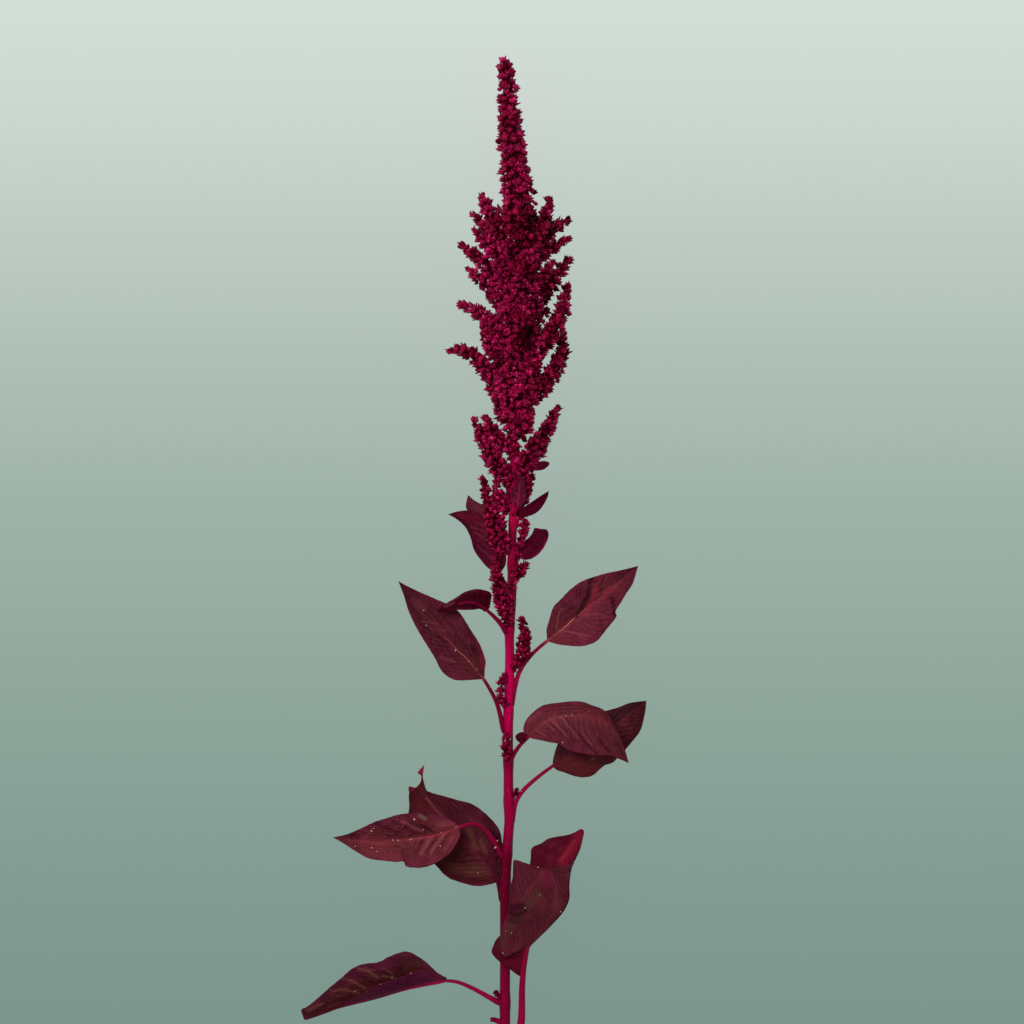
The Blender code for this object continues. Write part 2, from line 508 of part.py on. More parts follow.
def floret_faces(rings, tip):
    """Each four-sided cell is split between its two low corners, so every floret is a pyramid."""
    sides = len(rings[0])
    points = [p for ring in rings for p in ring]
    faces = []
    for i in range(len(rings) - 1):
        for j in range(sides):
            a = i * sides + j
            b = i * sides + (j + 1) % sides
            c, d = b + sides, a + sides
            if (i + j) % 2 == 0:
                faces += [(a, b, d), (b, c, d)]
            else:
                faces += [(a, b, c), (a, c, d)]
    points += [np.mean(rings[0], axis=0), tip]
    start, end = len(points) - 2, len(points) - 1
    last = (len(rings) - 1) * sides
    for j in range(sides):
        after = (j + 1) % sides
        faces.append((start, after, j))
        faces.append((end, last + j, last + after))
    return points, faces


def spike_radii(radius, count, root):
    """From the root's share of the radius to full soon after, and slender at the tip."""
    share = np.linspace(0, 1, count)
    return radius * (root + (1 - root) * np.minimum(share * 4, 1)) * (1 - TIP_TAPER * share**3)


def kept_above(path, radii):
    """Lifts what would go below the surface until its florets just lie on it."""
    lifted = path.copy()
    lifted[:, 2] = np.maximum(path[:, 2], radii + SPIKE_CLEAR)
    return lifted


def spike_path(points):
    length = np.linalg.norm(np.diff(np.array(points, float), axis=0), axis=1).sum()
    return spline(points, max(4, int(round(length / SPIKE_PITCH)) + 1))


def side_spike(name, points, radius, sides):
    """A spike of the head, its wide root sunk in the axis."""
    path = spike_path(points)
    radii = spike_radii(radius, len(path), SUNK_ROOT)
    rings, tip = floret_tube(kept_above(path, radii), radii, sides)
    return add_solid(name, *floret_faces(rings, tip), "floret")


def axillary_spike(name, points, radius, sides):
    """A spike in a leaf joint, its slim foot seated on the stalk."""
    path = spike_path(points)
    seat, out = stalk_seat(path[0])
    path[0] = seat
    rings, tip = floret_tube(path, spike_radii(radius, len(path), SEATED_ROOT), sides)
    rings[0] = laid_flat(rings[0], seat, out)
    return add_solid(name, *floret_faces(rings, tip), "floret")


def risen(points):
    """Points whose third number is a rise above the flowering axis, as real heights."""
    return [(across, along, rise + table(STEM_HEIGHT, along)) for across, along, rise in points]


def fill_spikes():
    """Short side spikes spread round the axis; those underneath are pressed flat by the surface."""
    draw = random.Random(SEED)
    made = []
    for k in range(FILL_COUNT):
        share = k / (FILL_COUNT - 1)
        along = FILL_FROM + (FILL_TO - FILL_FROM) * share
        turn = k * GOLDEN_ANGLE
        length = draw.uniform(*FILL_LENGTH) * (0.85 + 0.3 * math.sin(math.pi * share))
        out = np.array([math.cos(turn) * 0.8, 0, math.sin(turn)])
        root = stalk_point(along)
        reach = FILL_REACH * length
        ahead = length * math.sqrt(1 - FILL_REACH**2)
        middle = root + 0.55 * (reach * out + [0, ahead, 0])
        tip = root + reach * out + [0, ahead * 1.15, 0]
        made.append(([root, middle, tip], FILL_RADIUS, FILL_SIDES))
    return made


def make_head():
    """The seed head: one flowering axis joined with all its side spikes by a Boolean union."""
    count = int((HEAD_TIP - HEAD_START) / HEAD_PITCH)
    stops = np.linspace(HEAD_START, HEAD_TIP, count)
    path = np.array([stalk_point(along) for along in stops])
    radii = table(HEAD_RADIUS, stops)
    rings, tip = floret_tube(path, radii, HEAD_SIDES, bare=3)
    rings[0] = [[p[0], HEAD_START, p[2]] for p in rings[0]]
    head = add_solid("seed_head", *floret_faces(rings, tip), "floret")
    joined = bpy.data.collections.new("side_spikes")
    bpy.context.scene.collection.children.link(joined)
    outline = [(risen(points), radius, SPIKE_SIDES) for points, radius in OUTLINE_SPIKES]
    for k, (points, radius, sides) in enumerate(outline + fill_spikes()):
        spike = side_spike(f"side_spike_{k}", points, radius, sides)
        bpy.context.scene.collection.objects.unlink(spike)
        joined.objects.link(spike)
    union = head.modifiers.new("union", "BOOLEAN")
    union.operation = "UNION"
    union.operand_type = "COLLECTION"
    union.collection = joined
    union.solver = "MANIFOLD"
    bpy.context.view_layer.objects.active = head
    bpy.ops.object.modifier_apply(modifier="union")
    for spike in list(joined.objects):
        bpy.data.objects.remove(spike, do_unlink=True)
    bpy.data.collections.remove(joined)
    keep_outer_shell(head)
    return head


def shell_volume(faces):
    total = 0.0
    for face in faces:
        a, b, c = (vert.co for vert in face.verts)
        total += a.dot(b.cross(c)) / 6
    return total


def keep_outer_shell(obj):
    """Fills sealed hollows and drops scraps: only the largest closed shell stays."""
    shaped = bmesh.new()
    shaped.from_mesh(obj.data)
    bmesh.ops.triangulate(shaped, faces=shaped.faces)
    unseen = set(shaped.faces)
    shells = []
    while unseen:
        reached = [unseen.pop()]
        shell = []
        while reached:
            face = reached.pop()
            shell.append(face)
            for edge in face.edges:
                for other in edge.link_faces:
                    if other in unseen:
                        unseen.remove(other)
                        reached.append(other)
        shells.append(shell)
    shells.sort(key=shell_volume, reverse=True)
    for shell in shells[1:]:
        bmesh.ops.delete(shaped, geom=shell, context="FACES")
    loose = [vert for vert in shaped.verts if not vert.link_faces]
    bmesh.ops.delete(shaped, geom=loose, context="VERTS")
    shaped.to_mesh(obj.data)
    shaped.free()


def main():
    clear_scene()
    make_stem()
    for name, leaf in LEAVES.items():
        make_leaf(name, leaf)
    for name, (points, radius, sides) in AXILLARY_SPIKES.items():
        axillary_spike(name, points, radius, sides)
    make_head()


main()
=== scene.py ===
import math
import random

import bmesh
import bpy
import numpy as np
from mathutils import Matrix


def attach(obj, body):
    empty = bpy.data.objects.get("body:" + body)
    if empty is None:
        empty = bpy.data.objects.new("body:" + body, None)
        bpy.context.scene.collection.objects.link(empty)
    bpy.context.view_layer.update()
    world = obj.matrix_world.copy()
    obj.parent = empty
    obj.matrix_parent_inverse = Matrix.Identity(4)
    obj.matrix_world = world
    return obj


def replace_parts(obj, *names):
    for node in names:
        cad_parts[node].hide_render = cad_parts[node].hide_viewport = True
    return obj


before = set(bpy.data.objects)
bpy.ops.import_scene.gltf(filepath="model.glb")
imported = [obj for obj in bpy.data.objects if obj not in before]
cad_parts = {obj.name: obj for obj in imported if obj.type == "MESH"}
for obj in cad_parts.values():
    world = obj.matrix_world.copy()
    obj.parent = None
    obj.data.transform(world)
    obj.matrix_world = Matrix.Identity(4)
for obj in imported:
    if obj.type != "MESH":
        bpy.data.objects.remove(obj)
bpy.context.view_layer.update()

bl_info = {
    "name": "Red amaranth",
    "version": (1, 0, 0),
    "blender": (4, 5, 0),
    "location": "3D View > Sidebar > Amaranth",
    "description": "Stalk, leaves, flower spikes and stage of one cut stem of red amaranth",
    "category": "Add Mesh",
}

MM = 0.001
ORIGIN = (-26.65, 352.1, 0.0)  # the point of the surface that is the frame's origin, in mm

# All points are (across, along, height) in mm: along runs from the stalk's cut foot to the head's tip

# Stalk: centre line seen from above, its height and its radius, each against the distance along
STEM_ACROSS = [
    (0, -4.5), (31, -4.9), (64, -4.9), (118, -4.9), (148, -3.5), (169, -1.8), (193, -2.5),
    (244, -2.5), (286, -1.5), (302, -1.9), (323, -0.1), (353, -0.1), (374, 0.5), (388, 0.8),
    (437, 1.5), (465, 2.8), (535, 4.9), (590, 5.5), (605, 5.0), (633, 0.9), (668, -2.1),
    (696, -4.3), (704, -5.6),
]
STEM_HEIGHT = [
    (0, 3.7), (100, 8.5), (200, 14.5), (300, 20.5), (400, 26.0), (440, 27.0), (480, 26.8), (520, 25.5),
    (560, 24.0), (600, 22.5), (640, 21.0), (704, 18.0),
]
STEM_RADIUS = [
    (0, 3.6), (130, 3.5), (250, 3.3), (300, 3.1), (370, 2.8), (405, 2.6), (440, 2.4), (704, 2.0),
]
LEAF_JOINTS = [14, 42, 123, 147, 183, 212, 246, 268, 304, 334, 350, 379]

# Side spikes that make the outline: across, along and rise above the axis from root to tip, radius
# of the spike
OUTLINE_SPIKES = [
    ([(0, 386, 0), (-8, 393, 1), (-12, 409, 3)], 5.4),
    ([(2, 391, 0), (9, 401, 1), (14.5, 413, 2)], 5.4),
    ([(1, 407, 1), (-10.5, 418, 4), (-19, 436, 7), (-27.5, 453, 8)], 6.4),
    ([(0, 428, 2), (-8, 435, 6), (-14.5, 444, 9), (-20, 454, 11)], 6.2),
    ([(0, 447, 0), (-7, 457, -2), (-12, 468, -3)], 5.4),
    ([(5.0, 438, 3), (9, 446, 4), (11, 458, 4), (11, 473, 4)], 5.4),
    ([(0, 460, 0), (-11, 470, -2), (-19.5, 481, -3)], 5.8),
    ([(0, 478, 0), (-9, 492, 3), (-17, 506, 5), (-21, 520, 6)], 5.8),
    ([(2, 474, 1), (-13, 482, 2), (-26, 494, 3), (-35, 500, 2), (-46, 499, -1)], 5.7),
    ([(3, 508, 0), (-10, 516, -3), (-23, 526, -6), (-38, 533, -8)], 6.0),
    ([(4, 520, 1), (-7, 534, 3), (-15.5, 543.5, 5), (-24, 551, 8), (-32.4, 557.6, 9)], 6.4),
    ([(4, 540, 0), (-11, 553, -1), (-23, 564, -2), (-37, 574.5, -3)], 6.0),
    ([(4, 558, 1), (-10, 568, 4), (-20, 577, 7), (-27.5, 585, 9)], 5.6),
    ([(4, 566, 0), (-9, 577, -3), (-20, 588, -6), (-28.5, 596.5, -8)], 5.6),
    ([(-1, 576, 0), (-10, 586, 2), (-17, 597, 4), (-21, 609.5, 6)], 5.6),
    ([(4, 409, 0), (13, 422, -1), (22, 439, -2), (32.5, 461, -3)], 6.2),
    ([(7, 417, 1), (13.5, 430, 5), (18, 442, 8)], 5.0),
    ([(2, 383, -3), (7, 388, -4), (9.5, 396, -4)], 4.4),
    ([(2, 455, 1), (11, 470, 2), (17, 484, 3), (19, 497, 4)], 5.4),
    ([(5, 458, 0), (17, 470, -2), (29, 484, -4), (35, 498, -4), (35.5, 514, -3)], 6.6),
    ([(6, 485, 1), (17, 498, 3), (27.5, 512, 5), (35.5, 528, 7), (39.5, 547, 8)], 6.6),
    ([(6, 520, 0), (18, 535, -2), (27, 547, -4), (35, 557.5, -5), (41.8, 565, -6)], 6.6),
    ([(6, 552, 1), (18, 565, 3), (29, 573, 5), (41.5, 578, 7)], 5.6),
    ([(6, 560, 0), (18, 575, -3), (29, 585, -6), (41, 592, -8)], 5.8),
    ([(8, 570, 0), (17, 582, 2), (23.5, 593, 4), (26.5, 607, 6)], 5.8),
]

# Hollows between the front spikes: across, along and radius in mm
HOLLOWS = [
    (9.1, 510.0, 4.5), (13.0, 588.0, 3.5), (14.0, 575.0, 3.0), (-13.0, 503.0, 2.0), (-3.9, 479.0, 2.2),
    (-7.0, 460.0, 2.4), (-6.0, 490.0, 2.2), (-5.2, 426.0, 2.6), (7.9, 433.6, 3.5), (20.0, 470.0, 2.0),
    (-17.0, 560.0, 2.2), (6.0, 540.0, 2.2), (-8.0, 545.0, 2.0), (20.0, 540.0, 2.6), (-5.0, 584.0, 2.0),
]

# Painted shade and painted light on places of the head: across, along and radius in mm, change of tone
PAINTED_SHADING = [
    (11, 587, 9, -0.36), (0.5, 564, 6.5, -0.30), (8, 610, 6, -0.22), (8, 507, 9, -0.25),
    (-5, 491, 5, -0.2), (29, 544, 7, -0.24), (27, 572, 5, -0.28), (33, 499, 7, -0.26),
    (-26, 564, 5, -0.16), (17.5, 562, 5, 0.26), (-14, 573, 6, 0.14), (-16, 549, 6, 0.14),
    (-5, 464, 7, 0.24), (12, 474, 7, 0.10), (20, 530, 5, 0.14), (-17.5, 487, 6, 0.12), (-5, 609, 5, 0.14),
    (22, 579, 5, 0.16), (2, 553, 5, -0.18),
]

# Side spikes that fill the front and the back, set round the axis by the golden angle
FILL_COUNT = 34
FILL_FROM = 456.0
FILL_TO = 578.0
FILL_LENGTH = (28.0, 38.0)
FILL_REACH = 0.78  # share of the length that goes outwards, the rest goes forward
FILL_RADIUS = 5.6
FILL_TONE = (-0.22, 0.10)
FILL_GLOW = (0.32, 0.45)  # gain of tone at the foot of the head, and the share of it where that ends
FILL_SHADE = 0.05  # loss of tone on the right, which lies away from the window
# Painted shade on the outline's spikes on the right, which lies away from the window
RIGHT_PAINTED_SHADE = -0.12  # tone of the outline's spikes on the right
GOLDEN_ANGLE = math.radians(137.508)
SEED = 7

# Flower spikes and buds in the leaf joints: middle points from root to tip, radius
AXILLARY_SPIKES = {
    "axillary_spike_left_top": (
        [(-4.1, 357, 26), (-11, 366, 29), (-13.5, 383, 32), (-17.5, 397, 34), (-20.5, 411.5, 35)], 5.6),
    "axillary_spike_left_middle": (
        [(-1.6, 306, 25.6), (-4.6, 317, 28.5), (-8.4, 331, 30), (-11.6, 346, 29), (-12.2, 357, 28)], 5.3),
    "axillary_spike_left_inner": (
        [(-2.6, 361, 28.6), (-4.6, 366, 31), (-6.4, 374, 33.4), (-6.8, 384, 34.6)], 3.0),
    "axillary_spike_left_low": (
        [(-5.6, 250, 21), (-8.2, 257, 23), (-7.6, 264, 24), (-4.9, 274.5, 25)], 2.5),
    "axillary_cluster_front": (
        [(-2.4, 212.5, 20.6), (-3.6, 221, 23.5), (-4.8, 232, 25)], 3.9),
    "axillary_spike_right_top": (
        [(3.6, 352, 26), (4.6, 358, 26.5), (6.4, 367, 29), (10.4, 381.5, 32)], [0.8, 1.6, 2.6, 3.1, 3.4]),
    "axillary_cluster_right": (
        [(3.0, 340, 21.5), (7.4, 346.5, 22.5), (11.2, 351.8, 22)], 4.8),
    "axillary_spike_right_middle": (
        [(1.4, 276, 23.2), (6, 283, 25.5), (8.4, 294, 27), (8.4, 304, 27), (6.0, 314, 26)], 5.0),
    "axil_bud_right": (
        [(1.5, 187.5, 15.5), (3, 190, 16.2), (3.6, 194, 16.8)], 1.5),
    "axil_bud_left": (
        [(-8.9, 45.8, 6.6), (-10.4, 48, 7), (-10.6, 52, 7.6)], 1.3),
}

# Tufts beside a spike that lie over the stalk
BESIDE = {
    "axillary_spike_left_middle": (
        [(-1.5, 312, 26.6), (-0.6, 327, 28.4), (0.6, 339, 28.4), (1.8, 349, 28)], 3.2),
}


def leaf_shape(petiole, midrib, left, right, girth=(1.0, 1.0), free=False, holes=()):
    """A leaf: its midrib goes on where the petiole ends, and both edges end at the midrib's tip."""
    tip = midrib[-1:]
    return dict(petiole=petiole, midrib=petiole[-1:] + midrib, left=left + tip, right=right + tip,
                girth=girth, free=free, holes=holes)


# Each leaf: petiole and midrib from the stalk out, then the two edges of the blade. Girth makes petiole
# and midrib thicker or thinner, a free petiole ends off the stalk, and holes are across, along and radius
LEAVES = {
    "leaf_bottom_left": leaf_shape(
        petiole=[(-8.8, 42, 6.0), (-16, 46, 7.2), (-28, 52.5, 7.0), (-38, 56.5, 5.0), (-46, 57.5, 3.6)],
        midrib=[(-73, 51.5, 1.2), (-96.5, 44.5, 1.0), (-116.5, 39.5, 2.2), (-132, 35.5, 4.4),
            (-143, 33, 6), (-147, 33.6, 6.5)],
        left=[(-46, 59.5, 5), (-55.5, 64.5, 11), (-66, 65, 16), (-78, 60.5, 18), (-94.5, 55, 16),
            (-105.5, 48.5, 11), (-121, 39, 6.5), (-134, 33.6, 6), (-141.5, 31, 6.4), (-145.4, 30.1, 6.5)],
        right=[(-46, 60, 3.6), (-50.5, 61.5, 4), (-62, 72, 6), (-71.6, 77.6, 9), (-79, 77.4, 10),
            (-86.6, 74.6, 10), (-93.5, 70.6, 9.4), (-104, 69.6, 9), (-112, 66, 8.4), (-120, 59.6, 7.4),
            (-132, 49.2, 6.4), (-143, 39.8, 6), (-147.8, 37.4, 6.2)]),
    "leaf_left_front": leaf_shape(
        petiole=[(-6.9, 144.5, 12.4), (-9.4, 150, 14.6), (-13, 156.5, 19), (-19.9, 165, 26),
            (-27, 168.5, 31), (-37.5, 166, 32)],
        midrib=[(-49.5, 161.5, 33), (-61, 159, 34), (-79, 157, 34), (-96.5, 156, 32.5), (-114, 157.5, 29),
            (-125.3, 158.5, 25)],
        left=[(-36.5, 163, 32), (-37, 158.5, 33), (-42.3, 149, 35), (-49.5, 143.3, 36.5),
            (-57, 139.2, 37.5), (-66, 137.8, 38), (-73.8, 138.6, 38), (-75.6, 142.2, 38),
            (-83, 142, 37.6), (-99, 144, 36), (-108.3, 148.5, 33), (-117.7, 154.5, 29)],
        right=[(-38, 168, 32), (-47, 173, 34), (-57.6, 175.7, 36), (-73, 176, 37), (-92.5, 171, 35),
            (-104.7, 165.7, 32), (-114, 161.4, 29)]),
    "leaf_left_back": leaf_shape(
        holes=[(-73.2, 189.8, 1.2)],
        petiole=[(-7.2, 114, 8.6), (-8.4, 120, 8.6), (-9.8, 126, 8.4), (-12.2, 132.5, 8.2)],
        midrib=[(-18.5, 141, 8), (-27, 149.5, 7.4), (-39.5, 160, 7.2), (-53, 176.5, 8.5), (-61, 190, 10),
            (-63.1, 200, 10.5), (-61.7, 208.8, 11)],
        left=[(-11.4, 130.5, 8), (-10.6, 127, 7), (-16.2, 125, 5.5), (-25, 124, 3), (-35.5, 126.1, 1.2),
            (-44.2, 129.6, 0.75), (-51.2, 135.8, 0.75), (-56, 141, 0.75), (-68, 154, 2), (-72.8, 168, 4),
            (-72.2, 180, 6), (-72.4, 193.7, 8), (-71, 192.2, 8), (-67.6, 192.9, 8.6), (-65, 195.3, 9.4),
            (-63.6, 198, 9.8), (-63.6, 201.6, 10.3), (-66.1, 203.7, 10.6)],
        right=[(-10.2, 128.6, 8.6), (-7.6, 124.8, 8.8), (-6.3, 127.4, 9), (-6.2, 135, 9.3),
            (-6.6, 145, 9.8), (-7.0, 155, 10), (-8.2, 162.4, 10.8), (-13.6, 169.8, 12.2),
            (-20.6, 176.9, 13), (-29.4, 182.1, 14), (-39, 184.8, 14), (-46.9, 187, 12.8),
            (-55.7, 189.1, 11.8), (-59.4, 190, 11.4), (-61.4, 195, 11.1), (-62.7, 200.8, 11)]),
    "leaf_right_bottom": leaf_shape(
        girth=(1.5, 0.25),
        petiole=[(-0.6, 14, 4.4), (3.2, 18, 5), (6.2, 27, 6.2), (6.9, 38, 8), (7.0, 50, 11.5),
            (7.6, 61, 15.5), (8.8, 71, 19.5), (10.6, 81, 22.6)],
        midrib=[(18, 87.6, 23), (28.6, 98.3, 25.5), (36.1, 107.3, 28.5), (39.9, 116, 30), (40, 126, 30.6),
            (41.8, 137.6, 28.6), (46.6, 149, 24.5), (50.4, 162.2, 20)],
        left=[(6.6, 61, 13.4), (4.4, 61.8, 13.6), (-1.2, 65.6, 14), (-8.6, 71.4, 14.4),
            (-13.8, 77.4, 14.6), (-13, 83, 14.8), (-10, 88.2, 15), (-5, 92, 15.4), (-0.6, 106, 16),
            (4.6, 124, 17), (12.6, 139, 18), (13.8, 150.8, 18.4), (20, 154, 18.4), (26.6, 157.8, 18.5),
            (40.6, 160.6, 18.6), (48.6, 164.4, 19.6)],
        right=[(10, 80.4, 22.8), (3, 78, 23.6), (-6.4, 75.2, 25.4), (-8.4, 83, 28), (-7.6, 92.6, 31),
            (-3.4, 105.6, 34), (-1.2, 119, 37), (0.4, 132, 38), (1, 142.9, 38), (8.6, 141.2, 37.4),
            (17.6, 138.8, 36), (28, 136.4, 34), (38.6, 134.6, 31.6), (43.4, 142, 28), (47.4, 150, 24.5)]),
    "leaf_right_middle_front": leaf_shape(
        petiole=[(-1.6, 206, 16), (-0.9, 212, 18), (1.6, 217.4, 20.8), (5.3, 222.8, 24.4),
            (9, 226.6, 27.2), (12, 229.6, 29.4)],
        midrib=[(20.7, 237.7, 34), (29, 242, 37), (38.8, 243.9, 38), (56.7, 243.6, 37), (66, 239, 34),
            (75, 228.5, 30), (81.6, 210.7, 24)],
        left=[(8.4, 231.3, 30), (8, 236, 29), (11, 242.2, 30), (18.2, 249.2, 32), (26.6, 252.2, 33),
            (46, 254, 33), (55, 251.5, 32), (65.3, 246.8, 31), (72.8, 234.5, 29), (78.4, 221.2, 27)],
        right=[(11.2, 229.6, 30), (14, 228, 31), (23, 226.2, 34), (32.8, 224, 36), (40, 219.4, 36.5),
            (48.3, 217.6, 36), (58, 216, 34.5), (67.7, 216.2, 32), (73.7, 214.2, 28.5)]),
    "leaf_right_middle_back": leaf_shape(
        petiole=[(-0.4, 168, 12.4), (0.9, 175.5, 12.7), (2.6, 183, 13.0), (6.4, 189.5, 13.4),
            (11.9, 195.3, 13.4), (20.3, 202.3, 12.5), (29, 208.6, 10.6)],
        midrib=[(37, 215, 10.5), (51, 223.3, 11), (68.6, 235.2, 12), (82.6, 245.7, 11), (94.2, 254, 8)],
        left=[(28.6, 210.4, 11), (29.1, 214.5, 12), (32.2, 224, 14), (40.6, 237.3, 16), (54.6, 244.3, 17),
            (65, 246.8, 17), (73.5, 249.2, 15.5), (83.3, 252.7, 12)],
        right=[(29.6, 207, 9.5), (32, 205.2, 8), (37.6, 203.4, 4), (44, 201, 0.8), (50.5, 200.2, 0.3),
            (57.5, 202.2, 0.5), (65, 208.7, 3.2), (71.4, 211.2, 5), (79.8, 220.2, 7), (89.4, 232.3, 8),
            (93, 244.3, 8)]),
    "leaf_right_upper": leaf_shape(
        petiole=[(-0.8, 250, 17.4), (1.0, 259, 17.8), (2.9, 267.5, 18.2), (5.2, 274.4, 18.6),
            (9.2, 281, 19.6), (14.4, 287.2, 21.4), (19.8, 292.2, 23.7), (25.2, 296.6, 26)],
        midrib=[(38.5, 307.3, 28.5), (44, 312.5, 29.5), (60, 325.5, 30), (74.2, 337.4, 28),
            (88.2, 348.6, 24)],
        left=[(24.6, 298, 26), (24.2, 303.8, 27.5), (26, 311, 29), (28.7, 319.2, 31), (33, 324.4, 32),
            (44, 335, 33), (51, 338.8, 32.5), (61.6, 342.4, 31), (70, 344.4, 29.5), (79.8, 346.5, 27)],
        right=[(26.6, 295.4, 26), (35, 293.3, 29), (48.3, 292.6, 32), (56, 294.4, 32.5),
            (61.5, 298.5, 32.5), (69, 308, 32), (73.1, 313.4, 31.5), (72.4, 316.6, 31.2),
            (75, 321.4, 30.8), (79.8, 329, 29.5), (84.7, 337, 27)]),
    "leaf_left_upper": leaf_shape(
        petiole=[(-5.2, 232, 16.6), (-7.0, 238.5, 17), (-8.8, 246.5, 17.6), (-11.6, 254.8, 18),
            (-15.8, 262.7, 18.6), (-20.2, 269.8, 18.4)],
        midrib=[(-26.4, 277.4, 18), (-32, 284.2, 17.2), (-39.2, 290.6, 16), (-53.9, 305.9, 11.5),
            (-67.9, 322, 5.6), (-79.8, 337.8, 0.45)],
        left=[(-22.4, 269.2, 18.6), (-31, 268.6, 19.5), (-40, 268.8, 20), (-45.8, 271.6, 20),
            (-49.9, 276.2, 19.6), (-54.2, 284.2, 18), (-59, 292.3, 16), (-63.4, 299, 14), (-71.4, 314, 9),
            (-76.3, 329, 4)],
        right=[(-19.3, 272, 18.8), (-19.0, 277, 20.5), (-18.6, 282.4, 21.5), (-22.4, 293.3, 22),
            (-31.5, 308, 20), (-38, 317.5, 17.5), (-46.6, 322.5, 15), (-55.3, 326.2, 12), (-64, 330, 8.5),
            (-73.5, 334.4, 3.6)]),
    "leaf_left_small_folded": leaf_shape(
        girth=(1.45, 1.15),
        petiole=[(-3.8, 302, 22.4), (-8.0, 308.2, 24.8), (-12.4, 313, 27), (-17.2, 317.4, 28.8)],
        midrib=[(-21.6, 320.2, 30.8), (-27, 323.2, 32), (-33, 323.6, 32), (-39.9, 321.6, 30.5),
            (-46, 319.4, 28.5), (-52.4, 316, 26)],
        left=[(-19, 316.6, 29.5), (-22.4, 318.6, 32.5), (-28, 318, 35), (-36, 318, 34.5), (-41, 318, 32),
            (-46, 316.2, 29.5)],
        right=[(-15.8, 319.4, 28.5), (-14.9, 324, 28), (-14.6, 329, 27.4), (-19, 331.6, 27),
            (-26.3, 332.2, 26.6), (-33.6, 330, 27), (-39.2, 326.4, 27.6), (-45, 323, 27.4),
            (-50.4, 319.4, 26.4)]),
    "leaf_right_middle_small": leaf_shape(
        free=True,
        petiole=[(14, 229.6, 28.4), (13, 229.4, 28.6), (12, 229.2, 28.8)],
        midrib=[(8.6, 229.3, 29), (5.5, 229.3, 28.4), (2.4, 229.2, 27)],
        left=[(12, 227.8, 28.8), (9, 226.2, 28.6), (5.8, 225.1, 28), (3.3, 226.9, 27.4)],
        right=[(12, 230.6, 28.8), (9.2, 232.2, 29), (6.3, 232.4, 28.6), (3.6, 231, 27.6)]),
    "leaf_left_bract": leaf_shape(
        petiole=[(-3.3, 333.5, 19.8), (-5.6, 338, 18.6), (-9.2, 344, 18)],
        midrib=[(-13, 354, 16.8), (-20.5, 366, 15.4), (-28, 377, 14), (-37, 383.5, 12.6),
            (-44.8, 384.7, 11)],
        left=[(-11.8, 344.4, 17.6), (-16, 346.5, 16.4), (-21, 351.8, 15), (-26.6, 359.8, 13.6),
            (-28.7, 367.5, 13), (-32.5, 375.6, 12.4), (-39, 381.6, 11.8)],
        right=[(-7.4, 344.6, 18), (-4.4, 350, 18), (-4.6, 359, 18), (-8.5, 370, 17.4),
            (-16.5, 379.5, 16.6), (-24, 385.6, 15.6), (-31, 387.4, 14), (-38, 386.8, 12.4)]),
    "leaf_left_bract_back": leaf_shape(
        petiole=[(-2.8, 366, 20.6), (-5.6, 370, 15), (-9, 374.5, 11.6)],
        midrib=[(-16, 381.5, 9.2), (-24, 390, 7.4), (-30.8, 398.3, 6)],
        left=[(-10.2, 374.2, 11.2), (-18, 377, 8.6), (-27, 383, 6.8), (-32, 389, 6), (-31.8, 394, 5.8)],
        right=[(-8.6, 376, 11.8), (-10.5, 383, 10.4), (-18.2, 390, 8.6), (-26, 394.2, 7.2)]),
    "leaf_right_bract": leaf_shape(
        petiole=[(3.4, 376, 25.4), (3.9, 379, 26.6), (5.0, 382.5, 27.5)],
        midrib=[(10, 386.8, 29.2), (16, 391.6, 30.2), (22, 397.4, 30), (25.7, 401.1, 29)],
        left=[(4.8, 387, 27.8), (7.4, 389.8, 28.6), (10, 390.9, 29.4), (14.4, 393.9, 30.6),
            (19.6, 397.4, 30.6)],
        right=[(6.0, 381, 28), (10.6, 383.4, 29), (14.4, 384.4, 30), (18.7, 387.2, 31), (22.2, 391.6, 31),
            (24.9, 397, 30)]),
    "leaf_right_bract_blunt": leaf_shape(
        petiole=[(2.8, 349, 23.2), (3.6, 351.4, 23.8), (5.4, 354.4, 24.6)],
        midrib=[(10, 360, 25.4), (15, 366, 25.8), (19.6, 371.2, 25.6), (22.5, 374.4, 25)],
        left=[(4.4, 357, 25.4), (4.6, 361, 25.8), (8, 365.4, 26.2), (11.6, 368.4, 26.2),
            (14.2, 371.4, 26.2), (15.9, 375.1, 26), (19.6, 374.7, 25.6)],
        right=[(7.0, 353.4, 24.4), (10.5, 353, 24.2), (14.3, 354.1, 24), (18.7, 357.2, 23.6),
            (22.2, 361.6, 23.6), (24.4, 365.9, 23.8), (25.6, 370.3, 24.4), (24.6, 373.8, 24.8)]),
    "leaf_front_bract": leaf_shape(
        petiole=[(0.8, 385, 28.6), (2.2, 387, 29.8), (3.6, 389.5, 30.8)],
        midrib=[(4.4, 396, 32.4), (5.2, 404, 34.2), (6.0, 413, 36)],
        left=[(1.8, 390.4, 31), (-0.1, 396, 32.6), (0.5, 402, 34), (2.4, 408, 35.2)],
        right=[(6.4, 390.2, 31), (9.8, 395, 32.4), (9.8, 402, 33.8), (8.7, 408, 35)]),
    "leaf_head_bract": leaf_shape(
        petiole=[(4.5, 412, 26), (9, 414.5, 27.5), (13.5, 416.5, 28.6)],
        midrib=[(18, 418.5, 29.2), (22, 420.2, 29.4), (26.2, 420.6, 29)],
        left=[(13, 417.2, 28.6), (16.5, 420.4, 29), (21, 422, 29), (24.6, 421.6, 28.8)],
        right=[(14, 415.6, 28.4), (18, 415.4, 28.8), (22.6, 416.4, 28.8), (25.6, 419, 28.8)]),
}

